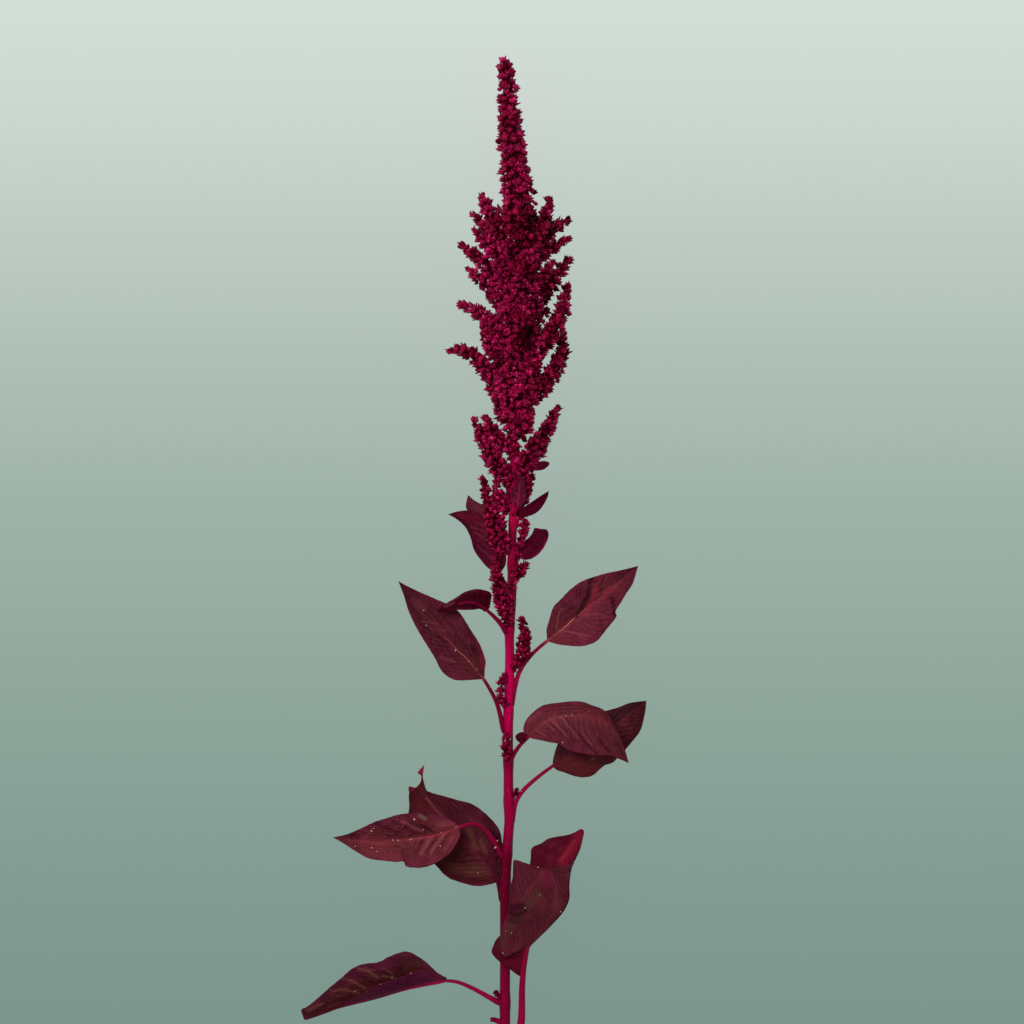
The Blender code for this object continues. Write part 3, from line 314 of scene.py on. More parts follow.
# Stalk
STALK_SIDES = 52
STALK_ROWS = 420
JOINT_SWELL = 0.5     # how far the stalk swells at a leaf joint, and half the length of that
JOINT_LENGTH = 5.0
RACHIS_FROM = 400     # the stalk tapers from here and goes on inside the head as far as the end
RACHIS_END = 640.0
BARK_FROM = 0.352     # how far before the origin the bark's colours start, and how far they reach, in m
BARK_REACH = 0.400
STUB = [(-6.5, 27.2, 4.6), (-9.8, 29.2, 5.2), (-12.8, 30.2, 5.4), (-15.2, 30.3, 5.4)]
STUB_RADII = (2.3, 1.5)
SURFACE_CLEAR = 0.06  # no point is laid lower than this above the surface, before a blade gets thick

# Petioles and midribs
PETIOLE_STOPS = 30    # points along a petiole and along a midrib
MIDRIB_STOPS = 60
PETIOLE_FOOT = 1.9    # radii of the petiole at the stalk, at the blade and of the midrib at the tip
PETIOLE_TOP = 1.15
MIDRIB_TIP = 0.22
MIDRIB_PROUD = 0.3    # how far the midrib stands out of the upper face
PETIOLE_GRIP = 2.4    # how deep under the bark petioles and spikes start
SPIKE_GRIP = 1.2
# Petioles that lie in shade, painted darker: share of the usual brightness
SHADED_PETIOLES = {"leaf_right_middle_front": 0.84, "leaf_left_back": 0.42, "leaf_left_upper": 0.8,
                "leaf_left_bract_back": 0.7, "leaf_head_bract": 0.5, "leaf_left_small_folded": 0.84}

# Blades
SMALL_LEAVES = ("bract", "small")
SMALL_SCALE = 0.6     # size of waves and quilting on a small leaf, and girth of its petiole
SMALL_GIRTH = 0.72
SMALL_GRID = (28, 56)  # faces across and along a blade
LARGE_GRID = (60, 140)
STANDS_FOR = {"leaf_head_bract": "seed_head", "leaf_right_middle_small": "leaf_right_middle_front"}
WAVE_HEIGHT = 0.9     # waves and small ripples of a blade's edges
WAVE_COUNT = 2.5
RIPPLE_HEIGHT = 0.45
RIPPLE_COUNT = 8
CAMBER = 0.045        # how far each half of a blade bulges
SMALL_TINT = (1.0, 0.06, 0.34, 1.0)  # colour of the gloss on the small leaves and on the large ones
LARGE_TINT = (1.0, 0.22, 0.42, 1.0)
UPPER_ROUGHNESS = 0.46
LOWER_ROUGHNESS = 0.6
SPECK_RANGE = 0.0014  # a speck lies on the highest point within this distance

# Side veins, alike in the relief of a blade and in its colours
VEIN_SWEEP = 0.20     # how far towards the tip a side vein has run when it meets the edge
SWEEPS = {"leaf_bottom_left": 0.42, "leaf_left_front": 0.34, "leaf_left_back": 0.30,
          "leaf_right_bottom": 0.50, "leaf_left_upper": 0.24}
VEIN_CURVE = 1.25     # power of the curve of that sweep
VEIN_STAGGER = 0.45   # share of a gap by which the left veins lie behind the right ones
DRIFT = 0.34          # wide wander of the veins, in gaps, its radians along the blade and where it starts
DRIFT_TURNS = 13.0
DRIFT_START = 1.3
WOBBLE = 0.16         # narrow wander of the veins, and its radians across and along the blade
WOBBLE_ACROSS = 5.0
WOBBLE_ALONG = 11.0

# Florets
FLORET_REACH = 3.0    # how far a floret stands out from its foot, in mm
FOOT_DEPTH = 0.78     # depth of a tuft's foot and of the dark core, as shares of that reach
CORE_DEPTH = 0.90
TIP_SHORT = 0.8       # share of it by which a spike's path ends before the spike
SPIKE_CLEAR = 12.0    # past this and its own length a spike hides nothing
DRY_SHARE = 0.045     # tufts that end in a pale dry tip, the tone that marks it, and its size
DRY_TONE = 2.0
DRY_SIZE = (0.28, 0.40)

# Camera, light and floor
SENSOR = 36.0
FRAME_WIDTH = 0.7168
VIEW_CENTRE = (0.02665, 0.0343)
VIEW_HEIGHT = 0.024
KEY_SPREAD = 28.0     # apparent width of the window light and of the floor's own light, in degrees
CEILING_SPREAD = 150.0
ROOM_LIGHT = 0.04     # what little light comes from all round
FLOOR_SIZE = 9.0
FLOOR_FROM = 0.324    # how far before the origin the floor's colours start, and how far they reach, in m
FLOOR_REACH = 0.717
FLOOR_STOPS = [(0.0, (123, 150, 141)), (0.126, (129, 155, 146)), (0.316, (143, 166, 156)),
               (0.512, (159, 179, 170)), (0.707, (182, 197, 190)), (0.902, (205, 216, 210)),
               (1.0, (212, 223, 217))]

# The flowering axis with the side spikes taken away
AXIS_RADIUS = [
    (386, 3.4), (405, 3.8), (418, 4.0), (433, 4.4), (450, 6.6), (475, 9.0), (510, 14.0), (575, 14.0),
    (598, 11.3), (612, 10.1), (640, 8.9), (670, 6.9), (690, 5.8), (702, 5.0),
]
AXIS_START = 388
AXIS_END = 703.5
AXIS_SWAY = [(415, 0.0), (425, 1.0), (434, -1.6), (446, 0.5), (460, 1.0), (480, 0.0)]

# Blade colours as seen in daylight: left half, right half, green-brown patches, side veins, underside
# and outer part, midrib, and the left side veins where they differ
LEAF_LOOKS = {
    "leaf_bottom_left": (
        (66, 8, 32), (52, 15, 18), (62, 34, 16), (90, 38, 32), (88, 10, 58), (132, 6, 60)),
    "leaf_left_front": (
        (98, 36, 42), (66, 18, 28), (64, 26, 28), (134, 54, 58), (82, 18, 48), (150, 50, 66)),
    "leaf_left_back": (
        (66, 21, 22), (66, 20, 34), (72, 36, 18), (94, 28, 32), (62, 10, 26), (98, 14, 34)),
    "leaf_right_bottom": (
        (76, 3, 16), (71, 31, 37), (69, 26, 27), (112, 45, 54), (72, 20, 32), (84, 12, 32),
        (96, 4, 30)),
    "leaf_right_middle_front": (
        (85, 29, 38), (82, 30, 40), (82, 34, 36), (122, 48, 55), (86, 18, 42), (120, 50, 58)),
    "leaf_right_middle_back": (
        (54, 25, 31), (89, 31, 33), (74, 38, 32), (94, 34, 38), (66, 18, 34), (92, 22, 40)),
    "leaf_right_upper": (
        (66, 17, 32), (88, 27, 42), (72, 24, 28), (130, 51, 57), (84, 14, 40), (176, 96, 80)),
    "leaf_left_upper": (
        (64, 18, 29), (62, 16, 29), (60, 27, 28), (104, 38, 44), (88, 9, 38), (140, 70, 62)),
    "leaf_left_small_folded": (
        (40, 1, 8), (46, 1, 10), (42, 3, 10), (70, 4, 20), (84, 3, 28), (120, 3, 46)),
    "leaf_right_middle_small": (
        (60, 3, 20), (64, 6, 24), (56, 8, 18), (96, 20, 40), (80, 8, 32), (80, 6, 28)),
    "leaf_left_bract": (
        (58, 8, 24), (66, 7, 26), (54, 18, 22), (108, 18, 40), (82, 6, 32), (98, 12, 38)),
    "leaf_left_bract_back": (
        (88, 32, 44), (92, 34, 48), (76, 34, 34), (122, 52, 62), (92, 16, 42), (96, 14, 36)),
    "leaf_right_bract": (
        (50, 1, 12), (52, 1, 12), (46, 3, 10), (72, 4, 22), (74, 2, 26), (76, 3, 22)),
    "leaf_right_bract_blunt": (
        (66, 6, 27), (62, 5, 23), (54, 10, 20), (92, 12, 36), (84, 6, 36), (116, 6, 42)),
    "leaf_head_bract": (
        (66, 4, 24), (62, 4, 22), (56, 8, 20), (96, 12, 38), (80, 4, 34), (92, 8, 34)),
    "leaf_front_bract": (
        (66, 9, 28), (62, 8, 28), (56, 11, 24), (112, 30, 56), (84, 8, 38), (140, 8, 54)),
}

# Marks on the blades by kind, each along a line of (across, along) points, with half width and strength
LEAF_MARKS = {
    "leaf_bottom_left": dict(
        amber=[([(-107.7, 66.2), (-101, 64.4), (-94.4, 60.2)], 1.1, 0.4),
            ([(-119.5, 59.5), (-111, 57), (-103.3, 52.2)], 1.1, 0.38),
            ([(-127, 50.6), (-117, 51.6), (-107.7, 48.9)], 1.2, 0.34),
            ([(-91, 60.6), (-82, 60.2)], 0.8, 0.35), ([(-143, 37), (-134, 41.4)], 1.3, 0.3)],
        lit_ridge=[([(-100, 65), (-90, 66.4), (-84, 62.6)], 0.6, 0.3)],
        moss=[([(-76, 74), (-66, 70)], 3.0, 0.35)],
        dark=[([(-114, 64.5), (-98, 57)], 1.3, 0.6), ([(-125, 56.5), (-110, 50.8)], 1.0, 0.5),
            ([(-100, 68), (-86, 62)], 1.4, 0.5), ([(-84, 72), (-70, 73)], 2.6, 0.4),
            ([(-134, 44), (-124, 53), (-112, 63)], 1.6, 0.55),
            ([(-141, 34), (-130, 41), (-118, 45.4)], 1.0, 0.5), ([(-147, 36), (-143.6, 33.6)], 1.0, 0.5)],
        border=[([(-50, 57), (-73, 51.5), (-96.5, 44.5), (-116.5, 39.5)], 1.3, 0.55)]),
    "leaf_left_front": dict(
        dark=[([(-98, 170), (-80.3, 162.2)], 1.2, 0.8), ([(-83, 170.4), (-68.3, 162.2)], 1.2, 0.85),
            ([(-69.5, 170.4), (-55, 162.8)], 1.1, 0.8), ([(-62.6, 157.2), (-67.7, 147.1)], 0.9, 0.55),
            ([(-52.5, 159.7), (-60.1, 148.3)], 0.9, 0.6), ([(-43.6, 162.2), (-52.5, 150.9)], 0.9, 0.5),
            ([(-100, 169), (-76, 175), (-58, 175.6)], 1.8, 0.35),
            ([(-93, 160.4), (-76, 159.6), (-60, 162)], 0.9, 0.6), ([(-52, 156), (-44, 150)], 6.0, 0.16),
            ([(-108, 153), (-96, 150.6)], 3.0, 0.22), ([(-117, 160.8), (-108, 161.6)], 1.4, 0.5)],
        lit_ridge=[([(-76, 170), (-63, 163)], 0.8, 0.35), ([(-57, 158.4), (-63.6, 147.6)], 1.2, 0.6),
            ([(-47.6, 161), (-56.4, 149)], 1.3, 0.6), ([(-41, 159), (-47, 150)], 1.2, 0.4),
            ([(-52, 168), (-42, 168)], 2.4, 0.35)],
        grey=[([(-64.4, 174.4), (-60.8, 172)], 1.5, 0.85)]),
    "leaf_left_back": dict(
        amber=[([(-30, 163), (-26, 151)], 2.6, 0.35), ([(-22, 156), (-19, 148)], 1.6, 0.3)],
        moss=[([(-42, 137), (-30, 135), (-20, 134)], 4.8, 0.55)],
        # The dark and wine marks along the stalk are painted shade between the stalk and the petiole of
        # leaf_left_front
        dark=[([(-19, 142), (-31, 140.4), (-46, 142)], 0.9, 0.85),
            ([(-52, 138), (-42, 132), (-30, 128), (-18, 128)], 2.6, 0.5),
            ([(-17, 176), (-12.6, 162), (-9.5, 146), (-8.4, 127)], 4.4, 0.85),
            ([(-38, 145), (-20, 145), (-15, 138)], 4.0, 0.42), ([(-71, 188), (-70, 172)], 2.0, 0.4)],
        wine=[([(-18, 172), (-14, 160), (-13, 140)], 4.4, 0.6)],
        lit_ridge=[([(-60, 186), (-52, 176), (-44, 169)], 0.7, 0.5)],
        border=[([(-64.6, 204.4), (-62, 207)], 2.2, 0.75), ([(-72.2, 192.6), (-69.6, 191.6)], 1.2, 0.4),
            ([(-47, 131), (-37, 125.6), (-27, 124), (-18, 126)], 0.9, 0.25)]),
    "leaf_right_bottom": dict(
        moss=[([(17.5, 119), (9, 110), (1, 98)], 3.6, 0.75), ([(1, 98), (-4, 92), (-7, 84)], 2.6, 0.5)],
        dark=[([(0.6, 109.6), (7.4, 110.8)], 2.6, 1.0),
            ([(-0.4, 106), (4, 104.6), (9, 107.4)], 2.8, 0.95), ([(-1, 101.4), (4.4, 100.2)], 2.8, 0.7),
            ([(34, 133), (38.4, 124), (38, 110), (30, 101)], 2.8, 0.42),
            ([(2, 139), (0.6, 126), (-2, 108)], 1.8, 0.42), ([(9, 118), (4, 96), (1, 86)], 3.0, 0.2),
            ([(22, 143), (24.6, 152)], 1.2, 0.45), ([(30, 142), (31.6, 154)], 1.0, 0.30),
            ([(-9.6, 85), (-8.4, 78), (-6, 73.6), (2, 74.4), (8, 76)], 1.0, 0.75),
            ([(-11.6, 79), (-10.6, 73)], 0.5, 0.5)],
        wine=[([(-0.6, 111.6), (4, 112), (8.4, 112.6)], 1.3, 0.7),
            ([(16, 146), (30, 150), (44, 157)], 8.0, 0.72),
            ([(-12, 83), (-12, 76), (-4, 68), (4, 64)], 3.4, 0.8)],
        border=[([(23, 134), (24.5, 127)], 3.4, 0.14)],
        lit_ridge=[([(22, 134), (12, 122), (6, 114)], 0.7, 0.22),
            ([(27, 134.4), (31, 124), (30, 112)], 0.6, 0.22), ([(35, 143.6), (43.6, 156)], 1.2, 0.30)],
        flush=[([(36, 143), (43, 152), (47, 160)], 3.6, 0.55)]),
    "leaf_right_middle_front": dict(
        dark=[([(46.4, 231.6), (52, 224.6), (58.6, 218)], 1.2, 0.8),
            ([(60.6, 228.6), (64, 223), (68, 219.4)], 1.1, 0.75), ([(73, 226), (77.6, 217)], 1.0, 0.5),
            ([(33, 239), (42, 228)], 1.0, 0.45), ([(38, 242), (45, 233)], 0.8, 0.5),
            ([(27, 239.6), (35, 231)], 0.8, 0.4)],
        lit_ridge=[([(30, 240.6), (38, 230)], 0.8, 0.35), ([(49, 231.6), (56, 223)], 0.9, 0.3),
            ([(12, 240), (19, 246)], 1.4, 0.25), ([(22, 240.4), (29, 234.4)], 0.5, 0.5),
            ([(26, 242), (33, 235)], 0.5, 0.5), ([(34, 243.6), (42, 234), (46, 229)], 0.6, 0.45),
            ([(17, 234), (23, 230)], 0.6, 0.4)],
        flush=[([(52, 248), (66, 241)], 4.0, 0.12)]),
    "leaf_right_middle_back": dict(
        flush=[([(35, 207), (60, 205)], 5.0, 0.16)],
        dark=[([(44, 218), (52, 215)], 2.8, 0.8), ([(66, 212), (60, 222)], 3.0, 0.15),
            ([(33, 210), (36, 222), (44, 230)], 1.0, 0.3), ([(80, 226), (86, 234), (90, 246)], 9.0, 0.6),
            ([(66, 240), (78, 246), (90, 251)], 3.4, 0.2)],
        grey=[([(56.6, 213.6), (57, 213.2)], 1.0, 0.4)]),
    "leaf_right_upper": dict(
        dark=[([(55.6, 341.4), (52.6, 326), (44.8, 312.9)], 2.0, 1.0),
            ([(70, 326.4), (72, 314.8)], 1.6, 1.0), ([(88.2, 348.6), (86.8, 347.4)], 0.8, 0.9),
            ([(63.8, 340.6), (61.5, 331)], 1.3, 0.6), ([(55, 338), (47, 331), (42, 321)], 2.6, 0.25),
            ([(76, 342), (66, 336)], 2.4, 0.2)],
        flush=[([(58.8, 335), (56.2, 324), (51, 315.4)], 1.5, 0.5), ([(64, 329), (71, 331)], 2.5, 0.22)],
        lit_ridge=[([(31, 305), (32.4, 314), (34, 319)], 0.5, 0.55),
            ([(33, 304), (45, 301.6), (52, 299.6)], 0.5, 0.55),
            ([(47, 314), (56, 315), (66, 314)], 0.5, 0.3)]),
    "leaf_left_upper": dict(
        dark=[([(-74, 326), (-66, 312), (-60, 303)], 2.2, 0.5), ([(-52, 299), (-44, 294)], 0.9, 0.6),
            ([(-33.6, 309), (-28, 298), (-25.4, 288)], 2.2, 0.75), ([(-30, 306), (-22, 290)], 4.0, 0.34),
            ([(-60, 296), (-52, 282), (-46, 273)], 3.2, 0.32), ([(-62, 307.6), (-50, 304)], 0.7, 0.5)],
        lit_ridge=[([(-57, 305.6), (-47, 303)], 0.6, 0.35), ([(-51, 285), (-40, 281.4)], 0.6, 0.35),
            ([(-63, 309.6), (-52, 308)], 0.5, 0.35), ([(-70, 324), (-62, 320)], 2.4, 0.2)],
        flush=[([(-25, 299), (-20.6, 287), (-20.4, 277)], 1.5, 0.35)]),
    "leaf_left_small_folded": dict(
        dark=[([(-40, 326.4), (-26, 330), (-16, 329)], 2.6, 0.4), ([(-44, 319.8), (-51, 317)], 0.9, 0.4),
            ([(-22, 322), (-21, 331)], 0.6, 0.6), ([(-27, 324), (-27, 332)], 0.6, 0.6),
            ([(-24, 320), (-34, 320)], 1.6, 0.5)],
        lit_ridge=[([(-41, 323), (-47, 320.2)], 1.1, 0.28), ([(-36, 327.6), (-42, 324.6)], 0.6, 0.5)],
        border=[([(-18, 318), (-21.6, 320.4), (-27, 323), (-33, 323.2), (-37, 322)], 0.7, 0.4)],
        flush=[([(-38, 328), (-27, 331.4), (-17, 330)], 0.7, 0.3)]),
    "leaf_right_bract_blunt": dict(
        border=[([(14.3, 354.3), (18.5, 357.6), (22, 362), (24, 367)], 1.1, 0.38)],
        dark=[([(7, 360), (13, 366), (16, 371)], 2.6, 0.5)]),
    "leaf_left_bract": dict(
        dark=[([(-27, 366), (-20, 358), (-14, 350)], 1.8, 0.5),
            ([(-42, 384.4), (-34, 379.6), (-29, 371)], 1.9, 0.45), ([(-28, 374), (-20, 371)], 0.5, 0.6),
            ([(-26, 369), (-14, 362)], 0.6, 0.6), ([(-26, 362), (-19, 353), (-13, 347)], 1.4, 0.5),
            ([(-22, 364), (-12, 354)], 0.7, 0.6)],
        lit_ridge=[([(-24, 362), (-12, 352), (-9, 347)], 1.0, 0.22),
            ([(-29, 376), (-22, 374), (-12, 366)], 0.5, 0.3), ([(-27, 372), (-18, 368)], 0.5, 0.28),
            ([(-25, 379), (-16, 376)], 0.5, 0.25)],
        flush=[([(-38, 384), (-26, 382), (-16, 374)], 2.0, 0.22)]),
    "leaf_right_middle_small": dict(
        dark=[([(3, 228), (7, 226.4)], 1.2, 0.6)]),
    "leaf_front_bract": dict(
        dark=[([(5.6, 394), (9, 396.6)], 0.4, 0.6), ([(5.8, 398), (9, 400.6)], 0.4, 0.6),
            ([(6.2, 402), (9, 404.4)], 0.4, 0.6), ([(6.4, 406), (8.4, 408)], 0.4, 0.5)],
        lit_ridge=[([(1.2, 395), (4.2, 393)], 0.4, 0.4), ([(1.4, 400), (4.6, 398)], 0.4, 0.4)],
        border=[([(4.2, 391), (4.8, 398), (5.4, 406)], 0.4, 0.6)]),
}

MARK_COLOURS = {
    # Dark wine red of the leaf, and on leaf_left_back painted shade
    "wine": (0.062, 0.001, 0.010, 1.0),   # dark wine red
    "moss": (0.055, 0.026, 0.014, 1.0),   # green-brown stains
    # Painted highlights on brown ridges
    "amber": (0.17, 0.072, 0.036, 1.0),   # brown ridges
    # Painted light: the lit side of the ridges beside creases
    "lit_ridge": (0.27, 0.060, 0.070, 1.0),   # pinkish ridges
    "grey": (0.13, 0.095, 0.058, 1.0),    # dry patches
    "flush": (0.24, 0.006, 0.022, 1.0),   # red flushes
    "border": (0.34, 0.004, 0.060, 1.0),  # magenta borders
    # Painted shade: creases and shaded places
    "dark": (0.014, 0.001, 0.004, 1.0),   # creases and shaded places
}
# Near-black of the painted shade in the grooves of the side veins, also used where blades darken towards
# the tip
DARK_TISSUE = (0.012, 0.001, 0.004, 1.0)
TISSUE_COLOURS = ("Left", "Right", "Patch", "Vein", "Outer", "Midrib", "Left vein")

# Dry pale specks stuck to the blades: across, along and radius in mm
SPECKS = {
    "leaf_left_front": [(-68.3, 171.6, 0.75), (-98.2, 163.5, 0.6), (-96.7, 165.2, 0.4),
        (-62.1, 164.3, 0.4), (-83.3, 157.0, 0.45), (-79.5, 156.8, 0.45), (-70.2, 157.9, 0.5),
        (-71.6, 157.2, 0.4), (-49.7, 162.4, 0.35), (-39.2, 166.1, 0.4), (-98.0, 151.6, 0.55),
        (-94.5, 149.1, 0.4), (-109.6, 152.6, 0.45), (-50.2, 153.0, 0.5), (-76.5, 166.7, 0.3),
        (-11.6, 151.4, 0.75), (-10.2, 156.2, 0.5)],
    "leaf_left_back": [(-24, 133, 0.4), (-50, 170, 0.35)],
    "leaf_bottom_left": [(-70.8, 63.2, 0.4), (-84.0, 60.0, 0.35), (-92.0, 55.5, 0.3), (-110, 50, 0.35)],
    "leaf_right_bottom": [(19.4, 118.8, 0.35), (9.1, 109.8, 0.4), (34.1, 106.8, 0.45), (-6.4, 77.8, 0.42),
        (-4.4, 93.3, 0.35), (-0.4, 92.1, 0.35), (18.1, 138.2, 0.45)],
    "leaf_right_middle_front": [(37.8, 244.0, 0.4), (42.0, 244.4, 0.45), (35.4, 225.4, 0.5),
        (54.0, 247.0, 0.3)],
    "leaf_left_upper": [(-62.0, 317.4, 0.5), (-60.0, 306.9, 0.45), (-39.5, 289.4, 0.6),
        (-30.3, 281.9, 0.4), (-24.6, 276.4, 0.3)],
}


class StalkSettings(bpy.types.PropertyGroup):
    """Sizes and colours of the stalk and of the petioles."""

    rib_depth: bpy.props.FloatProperty(
        name="Rib depth", description="How far the ribs along the stalk stand out",
        default=0.00012, min=0.0, max=0.0006, precision=5, unit="LENGTH")
    rib_count: bpy.props.IntProperty(
        name="Ribs", description="Number of ribs round the stalk", default=13, min=0, max=30)
    bright: bpy.props.FloatVectorProperty(
        name="Bright bark", description="Magenta of the lit upper stalk", subtype="COLOR", size=3,
        default=(0.56, 0.0005, 0.070), min=0.0, max=1.0)
    dark: bpy.props.FloatVectorProperty(
        name="Dark bark", description="Wine red of the shaded lower stalk", subtype="COLOR", size=3,
        default=(0.15, 0.0005, 0.020), min=0.0, max=1.0)


class LeafSettings(bpy.types.PropertyGroup):
    """Sizes of the leaf blades."""

    thickness: bpy.props.FloatProperty(
        name="Blade thickness", description="Thickness of a leaf blade",
        default=0.00045, min=0.0002, max=0.0007, precision=5, unit="LENGTH")
    quilting: bpy.props.FloatProperty(
        name="Quilting", description="How far the blade swells between its side veins",
        default=0.00065, min=0.0, max=0.0015, precision=5, unit="LENGTH")
    veins: bpy.props.IntProperty(
        name="Side veins", description="Side veins on each half of a large blade",
        default=19, min=3, max=30)
    brightness: bpy.props.FloatProperty(
        name="Blade brightness", description="Multiplies the colour of every blade",
        default=1.0, min=0.2, max=3.0)


class FloretSettings(bpy.types.PropertyGroup):
    """Sizes and colours of the florets."""

    length: bpy.props.FloatProperty(
        name="Floret length", description="Length of one pointed floret",
        default=0.0041, min=0.001, max=0.006, precision=4, unit="LENGTH")
    width: bpy.props.FloatProperty(
        name="Floret width", description="Width of one floret",
        default=0.0027, min=0.0005, max=0.004, precision=4, unit="LENGTH")
    spacing: bpy.props.FloatProperty(
        name="Tuft spacing", description="Distance between the tufts of a spike",
        default=0.0041, min=0.002, max=0.008, precision=4, unit="LENGTH")
    # Partly painted highlight: the colour of the tips of the brightest florets
    bright: bpy.props.FloatVectorProperty(
        name="Bright floret", description="Colour of the brightest floret tips", subtype="COLOR", size=3,
        default=(0.68, 0.012, 0.150), min=0.0, max=1.0)
    middle: bpy.props.FloatVectorProperty(
        name="Usual floret", description="Colour of most florets", subtype="COLOR", size=3,
        default=(0.168, 0.0017, 0.0215), min=0.0, max=1.0)
    # Painted shade deep between the florets
    dark: bpy.props.FloatVectorProperty(
        name="Dark floret", description="Colour deep between the florets", subtype="COLOR", size=3,
        default=(0.070, 0.0007, 0.0078), min=0.0, max=1.0)


class StageSettings(bpy.types.PropertyGroup):
    """Floor, light and camera."""

    lens: bpy.props.FloatProperty(
        name="Focal length", description="Long lens, in millimetres", default=400.0, min=50.0, max=800.0)
    sky: bpy.props.FloatProperty(
        name="Soft light", description="Strength of the broad light from above on the plant",
        default=1.2, min=0.0)
    key: bpy.props.FloatProperty(
        name="Window light", description="Strength of the soft light from the upper left on the plant",
        default=2.3, min=0.0)
    backdrop: bpy.props.FloatProperty(
        name="Backdrop light", description="Strength of the even light on the floor",
        default=3.35, min=0.0)


# Shapes from rows of numbers


def table(rows, at):
    """A value read from (distance, value) rows, along straight lines between them."""
    xs = np.array([row[0] for row in rows], float)
    ys = np.array([row[1] for row in rows], float)
    return np.interp(at, xs, ys)


def spline(points, count):
    """count points, evenly spaced, on a Catmull-Rom curve through the given points."""
    pts = np.array(points, float)
    padded = np.vstack([2 * pts[0] - pts[1], pts, 2 * pts[-1] - pts[-2]])
    fine = []
    for i in range(1, len(padded) - 2):
        a, b, c, d = padded[i - 1 : i + 3]
        for t in np.linspace(0, 1, 16, endpoint=False):
            fine.append(0.5 * (2 * b + (c - a) * t + (2 * a - 5 * b + 4 * c - d) * t**2
                               + (3 * b - a - 3 * c + d) * t**3))
    fine = np.array(fine + [pts[-1]])
    reach = np.concatenate([[0], np.cumsum(np.linalg.norm(np.diff(fine, axis=0), axis=1))])
    return rows_at(fine, np.linspace(0, 1, count), reach / reach[-1])


def rows_at(rows, share, stops=None):
    """Points read from rows of points at shares from 0 to 1."""
    if stops is None:
        stops = np.linspace(0, 1, len(rows))
    return np.stack([np.interp(share, stops, rows[:, k]) for k in range(3)], axis=-1)


def unit(v):
    return v / np.maximum(np.linalg.norm(v, axis=-1, keepdims=True), 1e-9)


def carried_frames(path, first_up=(0, 0, 1)):
    """The tangent, up and side vectors along a path, turned as little as possible."""
    along = unit(np.gradient(path, axis=0))
    ups = []
    up = np.array(first_up, float)
    for t in along:
        up = unit(up - t * np.dot(up, t))
        ups.append(up)
    ups = np.array(ups)
    return along, ups, np.cross(along, ups)


def stalk_point(along):
    return np.stack([table(STEM_ACROSS, along), along + 0 * along, table(STEM_HEIGHT, along)], axis=-1)


def smooth_step(low, high, value):
    t = np.clip((value - low) / (high - low), 0, 1)
    return t * t * (3 - 2 * t)


# Working on pieces as by hand


def nothing_selected():
    bpy.ops.object.select_all(action="DESELECT")


def only(piece):
    nothing_selected()
    piece.select_set(True)
    bpy.context.view_layer.objects.active = piece


def laid_grid(name, across, along, surface, closed=False):
    """A grid whose points are laid, by their two shares, on a surface given in mm."""
    nothing_selected()
    bpy.ops.mesh.primitive_grid_add(x_subdivisions=across, y_subdivisions=along, size=2.0, calc_uvs=True)
    piece = bpy.context.object
    piece.name = name
    piece.data.name = name
    flat = np.empty(len(piece.data.vertices) * 3)
    piece.data.vertices.foreach_get("co", flat)
    flat = flat.reshape(-1, 3)
    points = surface((flat[:, 0] + 1) / 2, (flat[:, 1] + 1) / 2)
    points[:, 2] = np.maximum(points[:, 2], SURFACE_CLEAR)
    piece.data.vertices.foreach_set("co", ((points - np.array(ORIGIN)) * MM).ravel())
    piece.data.update()
    bpy.ops.object.mode_set(mode="EDIT")
    bpy.ops.mesh.select_all(action="SELECT")
    bpy.ops.mesh.remove_doubles(threshold=1e-6)
    if closed:
        bpy.ops.mesh.normals_make_consistent(inside=False)
    bpy.ops.object.mode_set(mode="OBJECT")
    bpy.ops.object.shade_smooth()
    return piece


def tube_surface(path, radii, rows, relief=None, first_up=(0, 0, 1)):
    """Gives the place on a tube round the path for shares round and along it; both ends are closed."""
    _, ups, sides = carried_frames(path, first_up)

    def surface(u, v):
        share = np.clip((v * rows - 1) / (rows - 2), 0, 1)
        turn = 2 * math.pi * u
        radius = np.interp(share, np.linspace(0, 1, len(path)), radii)
        if relief is not None:
            radius = radius + relief(u, share)
        radius = np.where((v * rows < 0.5) | (v * rows > rows - 0.5), 0, radius)
        out = np.cos(turn)[:, None] * rows_at(sides, share) + np.sin(turn)[:, None] * rows_at(ups, share)
        return rows_at(path, share) + radius[:, None] * out

    return surface


